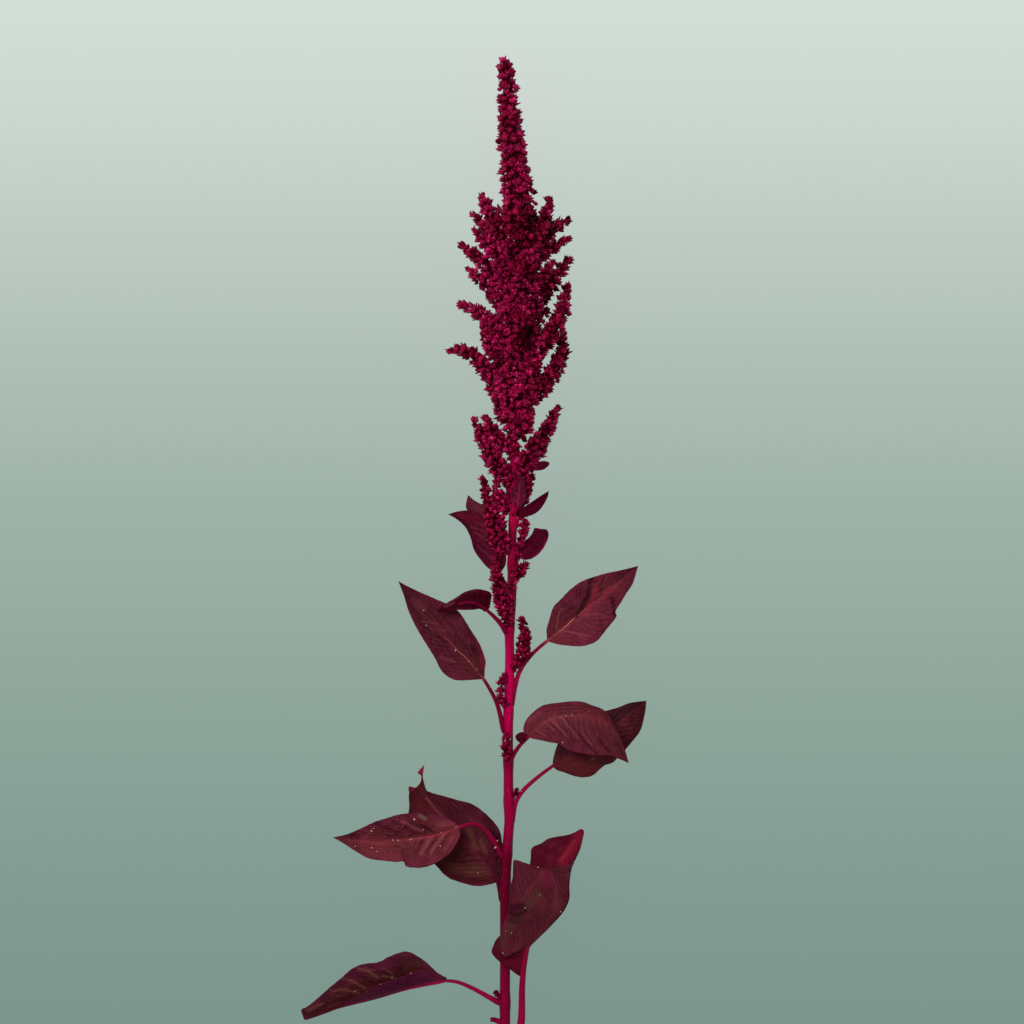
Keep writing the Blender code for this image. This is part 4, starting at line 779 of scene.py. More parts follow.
def blade_surface(leaf, veins, sweep, quilting, seed):
    """Gives the place on a blade: first share from the left edge to the right, second to the tip."""
    count = 121
    middle, left, right = (spline(leaf[key], count) for key in ("midrib", "left", "right"))
    draw = random.Random(seed)
    turns = [draw.uniform(0, 2 * math.pi) for _ in range(6)]
    scale = leaf["scale"]

    def plain(u, v):
        v = np.clip(v, 0, 1)
        side = 2 * u - 1
        reach = np.abs(side)
        centre = rows_at(middle, v)
        edge = np.where((side < 0)[:, None], rows_at(left, v), rows_at(right, v))
        lift = WAVE_HEIGHT * scale * np.sin(math.pi * v)
        wave = lift * np.sin(2 * math.pi * WAVE_COUNT * v) * np.where(side < 0, 1, -1)
        turn = 2 * math.pi * RIPPLE_COUNT * v + turns[0] + 2 * np.sign(side)
        ripple = RIPPLE_HEIGHT * scale * np.sin(turn) * reach**2
        edge[:, 2] += wave + ripple * np.sin(math.pi * v)
        width = np.linalg.norm(edge - centre, axis=1)
        ragged = 1 + 0.007 * np.sin(2 * math.pi * 6 * v + turns[1] + np.sign(side)) \
            + 0.003 * np.sin(2 * math.pi * 19 * v + turns[2])
        point = centre + (edge - centre) * (reach * (1 + (ragged - 1) * reach))[:, None]
        point[:, 2] += CAMBER * width * 4 * reach * (1 - reach)
        return point

    def surface(u, v):
        step = 0.004
        point = plain(u, v)
        over = plain(np.minimum(u + step, 1), v) - plain(np.maximum(u - step, 0), v)
        down = plain(u, np.minimum(v + step, 1)) - plain(u, np.maximum(v - step, 0))
        normal = unit(np.cross(over, down))
        reach = np.abs(2 * u - 1)
        phase = vein_phase(u, v, veins, sweep)
        swell = np.abs(np.sin(math.pi * phase)) ** 0.7 - 0.55
        fade = smooth_step(0.0, 0.12, reach) * smooth_step(1.0, 0.75, reach) * smooth_step(1.0, 0.85, v)
        lumps = 0.5 * np.sin(37 * u + 9 * v + turns[4]) * np.sin(23 * v - 11 * u + turns[5])
        swell = swell * (0.6 + 0.5 * np.sin(8 * v + 4 * u + turns[3]))
        return point + normal * ((swell + 0.7 * lumps) * quilting * scale * fade)[:, None]

    return surface


def vein_phase(u, v, veins, sweep):
    """Whole numbers lie on the side veins, which leave the midrib and sweep towards the tip."""
    side = 2 * u - 1
    reach = np.abs(side)
    drift = DRIFT * np.sin(DRIFT_TURNS * v + DRIFT_START)
    wobble = WOBBLE * np.sin(WOBBLE_ACROSS * side + WOBBLE_ALONG * v)
    stagger = np.where(side < 0, VEIN_STAGGER, 0.0)
    return (v - sweep * reach**VEIN_CURVE) * veins + (drift + wobble) + stagger


# Node trees


class Tree:
    """Adds nodes to one material or group and joins them."""

    def __init__(self, tree):
        self.tree = tree
        self.column = 0

    def node(self, kind, **settings):
        made = self.tree.nodes.new(kind)
        for key, value in settings.items():
            setattr(made, key, value)
        self.column += 1
        made.location = (180 * (self.column % 9) - 1500, 260 - 190 * (self.column // 9))
        return made

    def put(self, socket, value):
        if isinstance(value, bpy.types.NodeSocket):
            self.tree.links.new(value, socket)
        elif value is not None:
            socket.default_value = value

    def maths(self, operation, a, b=None, c=None, clamp=False):
        made = self.node("ShaderNodeMath", operation=operation, use_clamp=clamp)
        for k, value in enumerate((a, b, c)):
            self.put(made.inputs[k], value)
        return made.outputs[0]

    def times(self, a, b, clamp=False):
        return self.maths("MULTIPLY", a, b, clamp=clamp)

    def plus(self, a, b, clamp=False):
        return self.maths("ADD", a, b, clamp=clamp)

    def blend(self, share, a, b, kind="MIX"):
        made = self.node("ShaderNodeMix", data_type="RGBA", blend_type=kind)
        self.put(made.inputs["Factor"], share)
        self.put(made.inputs[6], a)
        self.put(made.inputs[7], b)
        return made.outputs[2]

    def ease(self, value, low, high, from_value=0.0, to_value=1.0):
        made = self.node("ShaderNodeMapRange", interpolation_type="SMOOTHSTEP")
        for key, given in (("Value", value), ("From Min", low), ("From Max", high),
                           ("To Min", from_value), ("To Max", to_value)):
            self.put(made.inputs[key], given)
        return made.outputs[0]

    def noise(self, vector, scale, detail=2.0, roughness=0.5):
        made = self.node("ShaderNodeTexNoise")
        for key, given in (("Vector", vector), ("Scale", scale), ("Detail", detail),
                           ("Roughness", roughness)):
            self.put(made.inputs[key], given)
        return made.outputs[0]

    def stretched(self, vector, scale):
        made = self.node("ShaderNodeMapping")
        self.put(made.inputs["Vector"], vector)
        made.inputs["Scale"].default_value = scale
        return made.outputs[0]

    def colour(self, share, stops):
        made = self.node("ShaderNodeValToRGB")
        band = made.color_ramp
        while len(band.elements) < len(stops):
            band.elements.new(0.5)
        for element, (place, value) in zip(band.elements, stops):
            element.position = place
            element.color = (*value[:3], 1.0)
        self.put(made.inputs[0], share)
        return made.outputs[0]


def new_group(name, inputs, outputs):
    """An empty node group with named sockets, and its tree, input and output nodes."""
    group = bpy.data.node_groups.new(name, "ShaderNodeTree")
    for label, kind, value in inputs:
        socket = group.interface.new_socket(name=label, in_out="INPUT", socket_type=kind)
        if value is not None:
            socket.default_value = value
    for label, kind in outputs:
        group.interface.new_socket(name=label, in_out="OUTPUT", socket_type=kind)
    tree = Tree(group)
    return group, tree, tree.node("NodeGroupInput"), tree.node("NodeGroupOutput")


def daylight(colour):
    """A colour given as seen on a screen, from 0 to 255, as the shader's linear colour."""
    made = []
    for value in colour:
        share = value / 255
        made.append(share / 12.92 if share <= 0.04045 else ((share + 0.055) / 1.055) ** 2.4)
    return (*made, 1.0)


def streak_group():
    """Fine streaks along a stalk, from its UV map: wide bands, thin lines and small scars."""
    found = bpy.data.node_groups.get("bark_streaks")
    if found:
        return found
    group, tree, given, out = new_group(
        "bark_streaks",
        [("UV", "NodeSocketVector", None), ("Place", "NodeSocketVector", None)],
        [("Bands", "NodeSocketFloat"), ("Lines", "NodeSocketFloat"), ("Scars", "NodeSocketFloat")])
    bands = tree.noise(tree.stretched(given.outputs["UV"], (9.0, 2.2, 1.0)), 1.0, 2.0)
    lines = tree.noise(tree.stretched(given.outputs["UV"], (46.0, 7.0, 1.0)), 1.0, 3.0, 0.6)
    scars = tree.noise(given.outputs["Place"], 900.0, 1.0)
    for label, source, low, high in (("Bands", bands, 0.36, 0.66), ("Lines", lines, 0.35, 0.68),
                                     ("Scars", scars, 0.66, 0.78)):
        tree.put(out.inputs[label], tree.ease(source, low, high))
    return group


def tissue_group():
    """Leaf tissue from the blade's UV map: side veins with painted shade in their grooves, net, patches
    and red rim.
    """
    found = bpy.data.node_groups.get("leaf_tissue")
    if found:
        return found
    colours = [(label, "NodeSocketColor", DARK_TISSUE) for label in TISSUE_COLOURS]
    group, tree, given, out = new_group(
        "leaf_tissue",
        [("UV", "NodeSocketVector", None), ("Place", "NodeSocketVector", None), *colours,
         ("Veins", "NodeSocketFloat", 10.0), ("Sweep", "NodeSocketFloat", VEIN_SWEEP)],
        [("Colour", "NodeSocketColor"), ("Height", "NodeSocketFloat"), ("Grip", "NodeSocketFloat")])
    place = given.outputs["Place"]
    split = tree.node("ShaderNodeSeparateXYZ")
    tree.put(split.inputs[0], given.outputs["UV"])
    u, v = split.outputs[0], split.outputs[1]
    side = tree.maths("SUBTRACT", tree.times(u, 2.0), 1.0)
    reach = tree.maths("ABSOLUTE", side)
    on_left = tree.maths("LESS_THAN", side, 0.0)
    # The same phase as the relief of the mesh
    sweep = tree.times(tree.maths("POWER", reach, VEIN_CURVE), given.outputs["Sweep"])
    phase = tree.times(tree.maths("SUBTRACT", v, sweep), given.outputs["Veins"])
    turn = tree.maths("MULTIPLY_ADD", side, WOBBLE_ACROSS, tree.times(v, WOBBLE_ALONG))
    wobble = tree.maths("SINE", turn)
    drift = tree.maths("SINE", tree.plus(tree.times(v, DRIFT_TURNS), DRIFT_START))
    for source, depth in ((wobble, WOBBLE), (drift, DRIFT), (on_left, VEIN_STAGGER)):
        phase = tree.plus(phase, tree.times(source, depth))
    away = tree.maths("ABSOLUTE", tree.maths("SUBTRACT", tree.maths("FRACT", phase), 0.5))
    # Each side vein is a thin light line, pale only near the midrib, in a groove of painted shade
    near = tree.times(tree.ease(away, 0.455, 0.492), tree.ease(reach, 0.80, 0.05, 0.28, 1.0))
    groove = tree.times(tree.ease(away, 0.37, 0.47), tree.ease(reach, 0.0, 0.3, 0.3, 1.0))
    midrib = tree.times(tree.ease(reach, 0.034, 0.014), tree.ease(v, 0.50, 0.22, 0.06, 1.0))
    net = tree.node("ShaderNodeTexVoronoi", feature="DISTANCE_TO_EDGE")
    tree.put(net.inputs["Vector"], place)
    net.inputs["Scale"].default_value = 520.0
    mesh_lines = tree.ease(net.outputs[0], 0.12, 0.02)
    clouds = tree.noise(place, 42.0, 3.0, 0.6)
    # The side veins show well in some places and hardly in others
    shown = tree.ease(tree.noise(place, 34.0, 1.0), 0.40, 0.60, 0.25, 1.0)
    near, groove = tree.times(near, shown), tree.times(groove, shown)
    grain = tree.noise(place, 480.0, 4.0, 0.75)
    lay = tree.node("ShaderNodeCombineXYZ")
    tree.put(lay.inputs[0], tree.times(phase, 4.0))
    tree.put(lay.inputs[1], tree.times(side, 4.0))
    fibres = tree.noise(lay.outputs[0], 1.0, 4.0, 0.75)
    half = tree.ease(side, -0.06, 0.06)
    vein = tree.blend(half, given.outputs["Left vein"], given.outputs["Vein"])
    tissue = tree.blend(half, given.outputs["Left"], given.outputs["Right"])
    between = tree.ease(away, 0.42, 0.10)
    green = tree.times(tree.ease(clouds, 0.48, 0.66), tree.maths("MULTIPLY_ADD", between, 0.5, 0.35))
    tissue = tree.blend(green, tissue, given.outputs["Patch"])
    # The last two rows: paler at the foot of the blade, darker towards its tip
    for source, low, high, share, colour in (
            (grain, 0.35, 0.75, 0.42, (0.0, 0.0, 0.0, 1.0)),
            (fibres, 0.48, 0.70, 0.60, (0.004, 0.0, 0.0, 1.0)),
            (fibres, 0.47, 0.30, 0.60, vein), (clouds, 0.50, 0.30, 0.30, vein),
            (reach, 0.45, 0.95, 0.35, given.outputs["Outer"]), (reach, 0.30, 0.02, 0.16, vein),
            (v, 0.34, 0.04, 0.20, vein), (v, 0.60, 0.96, 0.22, DARK_TISSUE)):
        tissue = tree.blend(tree.ease(source, low, high, 0.0, share), tissue, colour)
    rim = tree.ease(reach, 0.955, 0.995)
    for mask, share, colour in ((groove, 0.58, DARK_TISSUE), (mesh_lines, 0.22, vein), (near, 0.85, vein),
                                (rim, 0.7, (0.075, 0.004, 0.012, 1.0))):
        tissue = tree.blend(tree.times(mask, share), tissue, colour)
    tree.put(out.inputs["Colour"], tree.blend(midrib, tissue, given.outputs["Midrib"]))
    height = tree.times(grain, 0.35)
    for source, depth in ((groove, -0.8), (fibres, 0.5), (mesh_lines, -0.22)):
        height = tree.maths("MULTIPLY_ADD", source, depth, height)
    tree.put(out.inputs["Height"], height)
    # How well a mark takes, thread by thread, so that marks have no smooth edge
    threads = tree.plus(fibres, tree.times(grain, 0.6))
    tree.put(out.inputs["Grip"], tree.ease(threads, 0.6, 0.95, 0.45, 1.0))
    return group


def new_material(name):
    """A material, the tree to build it in and its Principled shader."""
    made = bpy.data.materials.new(name)
    made.use_nodes = True
    tree = Tree(made.node_tree)
    shader = made.node_tree.nodes["Principled BSDF"]
    return made, tree, shader


def glossed(tree, shader, roughness, level, tint):
    """Sets the shader's roughness and the strength and colour of its gloss."""
    for key, given in (("Roughness", roughness), ("Specular IOR Level", level), ("Specular Tint", tint)):
        tree.put(shader.inputs[key], given)


def bumped(tree, shader, height, strength, distance):
    made = tree.node("ShaderNodeBump")
    made.inputs["Strength"].default_value = strength
    made.inputs["Distance"].default_value = distance
    tree.put(made.inputs["Height"], height)
    tree.put(shader.inputs["Normal"], made.outputs[0])


def placed_group(tree, group, uv, place):
    made = tree.node("ShaderNodeGroup", node_tree=group)
    tree.put(made.inputs["UV"], uv)
    tree.put(made.inputs["Place"], place)
    return made


def bark_material(settings):
    """Magenta bark, with painted shade between the lower leaves and at leaf joints."""
    found = bpy.data.materials.get("stalk_bark")
    if found:
        return found
    made, tree, shader = new_material("stalk_bark")
    where = tree.node("ShaderNodeTexCoord")
    split = tree.node("ShaderNodeSeparateXYZ")
    tree.put(split.inputs[0], where.outputs["Object"])
    bright = (*settings.bright, 1.0)
    climb = tree.maths("DIVIDE", tree.plus(split.outputs[1], BARK_FROM), BARK_REACH, clamp=True)
    # Brightness along the stalk: the darker stretches between the lower leaves and at leaf joints are
    # painted shade, the brightest painted light
    body = tree.colour(climb, [
        (0.0, (0.155, 0.0003, 0.019)), (0.12, (0.150, 0.0003, 0.018)), (0.24, (0.082, 0.0001, 0.005)),
        (0.36, (0.088, 0.0001, 0.005)), (0.405, (0.260, 0.0002, 0.030)), (0.50, (0.270, 0.0003, 0.034)),
        (0.525, (0.17, 0.0003, 0.020)), (0.55, (0.25, 0.0004, 0.026)), (0.59, (0.42, 0.0004, 0.052)),
        (0.65, (0.47, 0.0004, 0.060)), (0.69, bright), (0.72, (0.44, 0.0004, 0.056)),
        (0.756, (0.30, 0.0008, 0.030)), (0.78, (0.32, 0.0004, 0.036)), (0.90, (0.23, 0.0004, 0.024)),
        (0.925, (0.20, 0.0006, 0.020)), (0.95, (0.48, 0.003, 0.046)), (1.0, (0.30, 0.0006, 0.032))])
    finish_bark(tree, shader, where, body, (*settings.dark, 1.0))
    return made


def finish_bark(tree, shader, where, body, dark, depth=1.0):
    """Streaks, scars and the gloss that stalk and petioles share."""
    streaks = placed_group(tree, streak_group(), where.outputs["UV"], where.outputs["Object"])
    for label, share, colour in (("Bands", 0.38 * depth, dark),
                                 ("Lines", 0.30 * depth, (0.10, 0.001, 0.02, 1.0)),
                                 ("Scars", 0.28, (0.50, 0.10, 0.09, 1.0))):
        body = tree.blend(tree.times(streaks.outputs[label], share), body, colour)
    tree.put(shader.inputs["Base Color"], body)
    glossed(tree, shader, 0.38, 0.22, (1.0, 0.03, 0.36, 1.0))
    bumped(tree, shader, tree.plus(streaks.outputs["Lines"], streaks.outputs["Scars"]), 0.35, 0.0002)


def rib_material(name, midrib, end, dim):
    """A magenta petiole that takes the colour of its leaf's midrib and ends in that of the blade; dim
    darkens the petiole as painted shade.
    """
    made, tree, shader = new_material(name)
    where = tree.node("ShaderNodeTexCoord")
    split = tree.node("ShaderNodeSeparateXYZ")
    tree.put(split.inputs[0], where.outputs["UV"])
    body = tree.colour(split.outputs[1], [
        (0.0, daylight((104 * dim, 2, 38 * dim))), (0.12, daylight((140 * dim, 3, 51 * dim))),
        (0.31, daylight((122 * dim, 8 * dim, 44 * dim))),
        (0.38, daylight(midrib)), (0.47, daylight(midrib)), (0.62, daylight(end)), (1.0, daylight(end))])
    finish_bark(tree, shader, where, body, daylight((92, 6, 32)), 0.5)
    return made


def leaf_material(name, looks, kinds, veins, sweep, brightness, roughness, tint):
    """One face of a blade: its tissue in six or seven colours, and the marks that this blade has, some of
    which are painted shade and painted light.
    """
    made, tree, shader = new_material(name)
    where = tree.node("ShaderNodeTexCoord")
    tissue = placed_group(tree, tissue_group(), where.outputs["UV"], where.outputs["Object"])
    looks = (*looks, looks[3])[:7]
    for label, colour in zip(TISSUE_COLOURS, looks):
        lit = [value * brightness for value in daylight(colour)[:3]]
        tissue.inputs[label].default_value = (*lit, 1.0)
    tissue.inputs["Veins"].default_value = veins
    tissue.inputs["Sweep"].default_value = sweep
    body = tissue.outputs["Colour"]
    for kind in kinds:
        share = tree.node("ShaderNodeAttribute", attribute_name=kind).outputs["Fac"]
        body = tree.blend(tree.times(share, tissue.outputs["Grip"]), body, MARK_COLOURS[kind])
    tree.put(shader.inputs["Base Color"], body)
    glossed(tree, shader, roughness, 0.15, tint)
    bumped(tree, shader, tissue.outputs["Height"], 0.55, 0.0004)
    return made


def floret_material(settings):
    """Crimson florets, every one a little different, with painted shade between them and painted
    highlights at the tips.
    """
    found = bpy.data.materials.get("floret_crimson")
    if found:
        return found
    made, tree, shader = new_material("floret_crimson")
    tone = tree.node("ShaderNodeAttribute", attribute_name="tone").outputs["Fac"]
    tip = tree.node("ShaderNodeAttribute", attribute_name="tip").outputs["Fac"]
    where = tree.node("ShaderNodeTexCoord")
    grain = tree.noise(where.outputs["Object"], 900.0, 2.0, 0.6)
    # Painted shade towards the foot of each floret and on the inner axes, whose tone is nothing; painted
    # highlights on the bright tips
    share = tree.times(tree.ease(tip, 0.0, 0.75, 0.26, 1.0), tone, clamp=True)
    share = tree.plus(share, tree.ease(grain, 0.3, 0.7, -0.08, 0.08), clamp=True)
    body = tree.colour(share, [
        (0.0, (0.016, 0.0, 0.003)), (0.04, settings.dark), (0.32, settings.middle),
        (0.68, (0.30, 0.0032, 0.050)), (1.0, settings.bright)])
    # Painted shade in clumps, as in the hollows of the head, and painted light between them
    shade = tree.noise(where.outputs["Object"], 150.0, 2.0, 0.6)
    body = tree.blend(tree.ease(shade, 0.50, 0.70, 0.0, 0.7), body, (0.50, 0.7, 0.78, 1.0), "MULTIPLY")
    body = tree.blend(tree.ease(shade, 0.46, 0.30, 0.0, 0.8), body, (1.30, 1.2, 1.15, 1.0), "MULTIPLY")
    # Pale dry tips, whose tone lies above all others
    body = tree.blend(tree.ease(tone, 1.2, 1.5), body, (0.42, 0.44, 0.40, 1.0))
    tree.put(shader.inputs["Base Color"], body)
    # Gloss only where a floret is bright, so that the hollows stay dark
    glossed(tree, shader, 0.33, tree.times(share, 0.6), (1.0, 0.16, 0.50, 1.0))
    bumped(tree, shader, grain, 0.25, 0.0002)
    return made


# The stalk


def stalk_radius(along):
    swell = sum(np.exp(-((along - joint) / JOINT_LENGTH) ** 2) for joint in LEAF_JOINTS)
    return table(STEM_RADIUS, along) + JOINT_SWELL * np.minimum(swell, 1.0)


class AMARANTH_OT_stalk(bpy.types.Operator):
    """Makes the ribbed magenta stalk, from its cut foot up into the head"""

    bl_idname = "amaranth.stalk"
    bl_label = "Make the stalk"

    def execute(self, context):
        settings = context.scene.amaranth_stalk
        stops = np.linspace(0, RACHIS_END, 300)
        path = stalk_point(stops)
        radii = stalk_radius(stops) * (1 - 0.5 * smooth_step(RACHIS_FROM, RACHIS_END, stops))
        ribs, depth = settings.rib_count, settings.rib_depth / MM

        def relief(u, v):
            turn = 2 * math.pi * u
            rib = np.abs(np.sin(ribs * turn / 2 + 0.4 * np.sin(9 * v))) - 0.6
            lump = 0.05 * np.sin(31 * v + 2 * turn) + 0.04 * np.sin(67 * v - turn)
            return depth * 1.6 * rib + lump

        surface = tube_surface(path, radii, STALK_ROWS, relief)
        piece = laid_grid("stalk_bark", STALK_SIDES, STALK_ROWS, surface, closed=True)
        stub_surface = tube_surface(spline(STUB, 12), np.linspace(*STUB_RADII, 12), 20)
        stub = laid_grid("petiole_stub", 16, 20, stub_surface, closed=True)
        piece.data.materials.append(bark_material(settings))
        stub.data.materials.append(rib_material("stub_bark", (124, 3, 46), (92, 3, 32), 1.0))
        only(piece)
        stub.select_set(True)
        bpy.ops.object.join()
        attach(piece, "root")
        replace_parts(piece, "stem")
        return {"FINISHED"}


# Leaves


def stalk_side(foot, depth):
    """The point under the bark where a petiole or spike starts."""
    centre = stalk_point(foot[1])
    out = foot - centre
    out[1] = 0
    return centre + unit(out) * (stalk_radius(foot[1]) - depth)


def rib_radii(girth, small):
    """Radii along the petiole and then along the midrib, which have one point in common."""
    petiole, midrib = np.linspace(0, 1, PETIOLE_STOPS), np.linspace(0, 1, MIDRIB_STOPS)
    radii = np.concatenate([
        np.linspace(PETIOLE_FOOT, PETIOLE_TOP, PETIOLE_STOPS) + 0.5 * np.exp(-petiole * 9),
        PETIOLE_TOP + (MIDRIB_TIP - PETIOLE_TOP) * midrib ** 0.32])
    start, end = girth
    stops = (0, PETIOLE_STOPS - 1, PETIOLE_STOPS + 3, len(radii))
    return radii * (SMALL_GIRTH if small else 1.0) * np.interp(
        np.arange(len(radii)), stops, (start, start, end, end))


def make_rib(name, leaf, small):
    """The petiole and, going on from it, the midrib, as one tapering tube."""
    petiole = spline(leaf["petiole"], PETIOLE_STOPS)
    if not leaf["free"]:
        petiole[0] = stalk_side(petiole[0], PETIOLE_GRIP)
    midrib, left, right = (spline(leaf[key], MIDRIB_STOPS) for key in ("midrib", "left", "right"))
    normal = unit(np.cross(right - left, np.gradient(midrib, axis=0)))
    normal[-3:] = normal[-4]
    radii = rib_radii(leaf["girth"], small)
    share = np.linspace(0, 1, MIDRIB_STOPS)
    sink = (radii[PETIOLE_STOPS:] - MIDRIB_PROUD * leaf["scale"] * (1 - 0.5 * share))[:, None]
    path = np.vstack([petiole, (midrib - normal * sink * smooth_step(0.0, 0.06, share)[:, None])[1:]])
    radii = np.delete(radii, PETIOLE_STOPS)

    def groove(u, v):
        return -0.10 * radii[0] * np.exp(-((u - 0.25) / 0.07) ** 2) * (1 - v)

    rows = 96
    return laid_grid(name, 14, rows, tube_surface(path, radii, rows, groove), closed=True)


def bite(piece, holes):
    """Takes the faces within each hole out of a blade."""
    middles = [(face.index, face.center.copy()) for face in piece.data.polygons]
    bpy.ops.object.mode_set(mode="EDIT")
    bpy.ops.mesh.select_all(action="DESELECT")
    bpy.ops.object.mode_set(mode="OBJECT")
    for index, middle in middles:
        x, y = middle.x / MM + ORIGIN[0], middle.y / MM + ORIGIN[1]
        taken = any(math.hypot(x - across, y - along) < radius for across, along, radius in holes)
        piece.data.polygons[index].select = taken
    bpy.ops.object.mode_set(mode="EDIT")
    bpy.ops.mesh.select_mode(type="FACE")
    bpy.ops.mesh.delete(type="FACE")
    bpy.ops.object.mode_set(mode="OBJECT")


def marked(piece, marks):
    """Stores on the blade's points how strongly each kind of mark shows there."""
    points = np.empty(len(piece.data.vertices) * 3)
    piece.data.vertices.foreach_get("co", points)
    flat = points.reshape(-1, 3)[:, :2] / MM + np.array(ORIGIN[:2])
    for kind, lines in marks.items():
        share = np.zeros(len(flat))
        for line, width, strength in lines:
            line = np.array(line, float)
            near = np.full(len(flat), 1e9)
            for a, b in zip(line[:-1], line[1:]):
                t = np.clip((flat - a) @ (b - a) / np.dot(b - a, b - a), 0, 1)[:, None]
                near = np.minimum(near, np.linalg.norm(flat - a - t * (b - a), axis=1))
            share = np.maximum(share, strength * smooth_step(1.6 * width, 0.2 * width, near))
        layer = piece.data.attributes.new(kind, "FLOAT", "POINT")
        layer.data.foreach_set("value", share.astype(np.float32))


def speck_material():
    """Dry cream coloured husk."""
    found = bpy.data.materials.get("husk_cream")
    if found:
        return found
    made, tree, shader = new_material("husk_cream")
    where = tree.node("ShaderNodeTexCoord")
    grain = tree.noise(where.outputs["Object"], 2500.0, 2.0)
    tree.put(shader.inputs["Base Color"], tree.colour(grain, [
        (0.3, daylight((150, 114, 84))), (0.7, daylight((208, 176, 140)))]))
    shader.inputs["Roughness"].default_value = 0.8
    return made


def make_specks(pieces, places):
    """Small flattened husks lying on the uppermost face of a blade or petiole."""
    made = []
    tops = np.array([vert.co for piece in pieces for vert in piece.data.vertices])
    for across, along, radius in places:
        spot = (np.array([across, along]) - ORIGIN[:2]) * MM
        far = np.linalg.norm(tops[:, :2] - spot, axis=1)
        height = tops[far < max(SPECK_RANGE, far.min() + 1e-6), 2].max()
        nothing_selected()
        bpy.ops.mesh.primitive_ico_sphere_add(
            subdivisions=1, radius=1.35 * radius * MM, location=(*spot, height + 0.4 * radius * MM),
            rotation=(0.3, 0.2, across), scale=(1.0, 0.7, 0.5))
        bpy.ops.object.transform_apply(location=True, rotation=True, scale=True)
        speck = bpy.context.object
        speck.data.materials.append(speck_material())
        made.append(speck)
    return made


def make_blade(context, name, leaf):
    """One leaf: its blade with an upper and a lower face, and its petiole with the midrib."""
    settings = context.scene.amaranth_leaf
    small = any(word in name for word in SMALL_LEAVES)
    leaf = dict(leaf, scale=SMALL_SCALE if small else 1.0)
    veins = settings.veins // 2 if small else settings.veins
    sweep = SWEEPS.get(name, VEIN_SWEEP)
    order = list(LEAVES).index(name)
    surface = blade_surface(leaf, veins, sweep, settings.quilting / MM, 100 + order)
    piece = laid_grid(name.replace("leaf", "blade"), *(SMALL_GRID if small else LARGE_GRID), surface)
    if leaf["holes"]:
        bite(piece, leaf["holes"])
    looks = LEAF_LOOKS[name]
    left, _, _, vein, under, midrib = looks[:6]
    marks = LEAF_MARKS.get(name, {})
    kinds = [kind for kind in MARK_COLOURS if kind in marks]
    tint = SMALL_TINT if small else LARGE_TINT
    below = (under, under, under, vein, under, midrib)
    for face, colours, roughness in (("_upper", looks, UPPER_ROUGHNESS),
                                     ("_lower", below, LOWER_ROUGHNESS)):
        piece.data.materials.append(leaf_material(
            name + face, colours, kinds, veins, sweep, settings.brightness, roughness, tint))
    wall = piece.modifiers.new("thickness", "SOLIDIFY")
    wall.thickness = settings.thickness
    wall.offset = 0.0
    wall.material_offset = 1
    wall.use_even_offset = False
    only(piece)
    bpy.ops.object.modifier_apply(modifier=wall.name)
    rib = make_rib(name + "_rib", leaf, small)
    rib.data.materials.append(rib_material(name + "_rib", midrib, left, SHADED_PETIOLES.get(name, 1.0)))
    marked(piece, marks)
    specks = make_specks([piece, rib], SPECKS.get(name, []))
    only(piece)
    for part in [rib] + specks:
        part.select_set(True)
    bpy.ops.object.join()
    piece.data.name = piece.name
    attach(piece, "root")
    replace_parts(piece, STANDS_FOR.get(name, name))
    return piece


class AMARANTH_OT_leaves(bpy.types.Operator):
    """Makes the eight large leaves"""

    bl_idname = "amaranth.leaves"
    bl_label = "Make the large leaves"

    def execute(self, context):
        for name, leaf in LEAVES.items():
            if not any(word in name for word in SMALL_LEAVES):
                make_blade(context, name, leaf)
        return {"FINISHED"}


class AMARANTH_OT_bracts(bpy.types.Operator):
    """Makes the small leaves between the lowest flower spikes"""

    bl_idname = "amaranth.bracts"
    bl_label = "Make the small leaves"

    def execute(self, context):
        for name, leaf in LEAVES.items():
            if any(word in name for word in SMALL_LEAVES):
                make_blade(context, name, leaf)
        return {"FINISHED"}


# Flower spikes


def floret_mould():
    """Points and triangles of one pointed floret, a unit long and a unit wide, on the origin."""
    nothing_selected()
    bpy.ops.mesh.primitive_uv_sphere_add(segments=6, ring_count=3, radius=0.5, location=(0, 0, 0.5))
    mould = bpy.context.object
    bpy.ops.object.transform_apply(location=True, rotation=False, scale=False)
    bpy.ops.object.mode_set(mode="EDIT")
    bpy.ops.mesh.select_all(action="SELECT")
    bpy.ops.mesh.quads_convert_to_tris(quad_method="BEAUTY", ngon_method="BEAUTY")
    # Plump near the foot, drawn in towards the tip
    for low, high, wider, higher in ((0.1, 0.4, 1.15, 0.05), (0.6, 0.9, 0.72, -0.05)):
        shaped = bmesh.from_edit_mesh(mould.data)
        for vert in shaped.verts:
            vert.select = low < vert.co.z < high
        shaped.select_flush(True)
        bmesh.update_edit_mesh(mould.data)
        bpy.ops.transform.resize(value=(wider, wider, 1.0), center_override=(0, 0, 0.5))
        bpy.ops.transform.translate(value=(0, 0, higher))
    bpy.ops.object.mode_set(mode="OBJECT")
    points = np.array([vert.co for vert in mould.data.vertices])
    faces = np.array([face.vertices for face in mould.data.polygons])
    bpy.data.objects.remove(mould, do_unlink=True)
    return points, faces


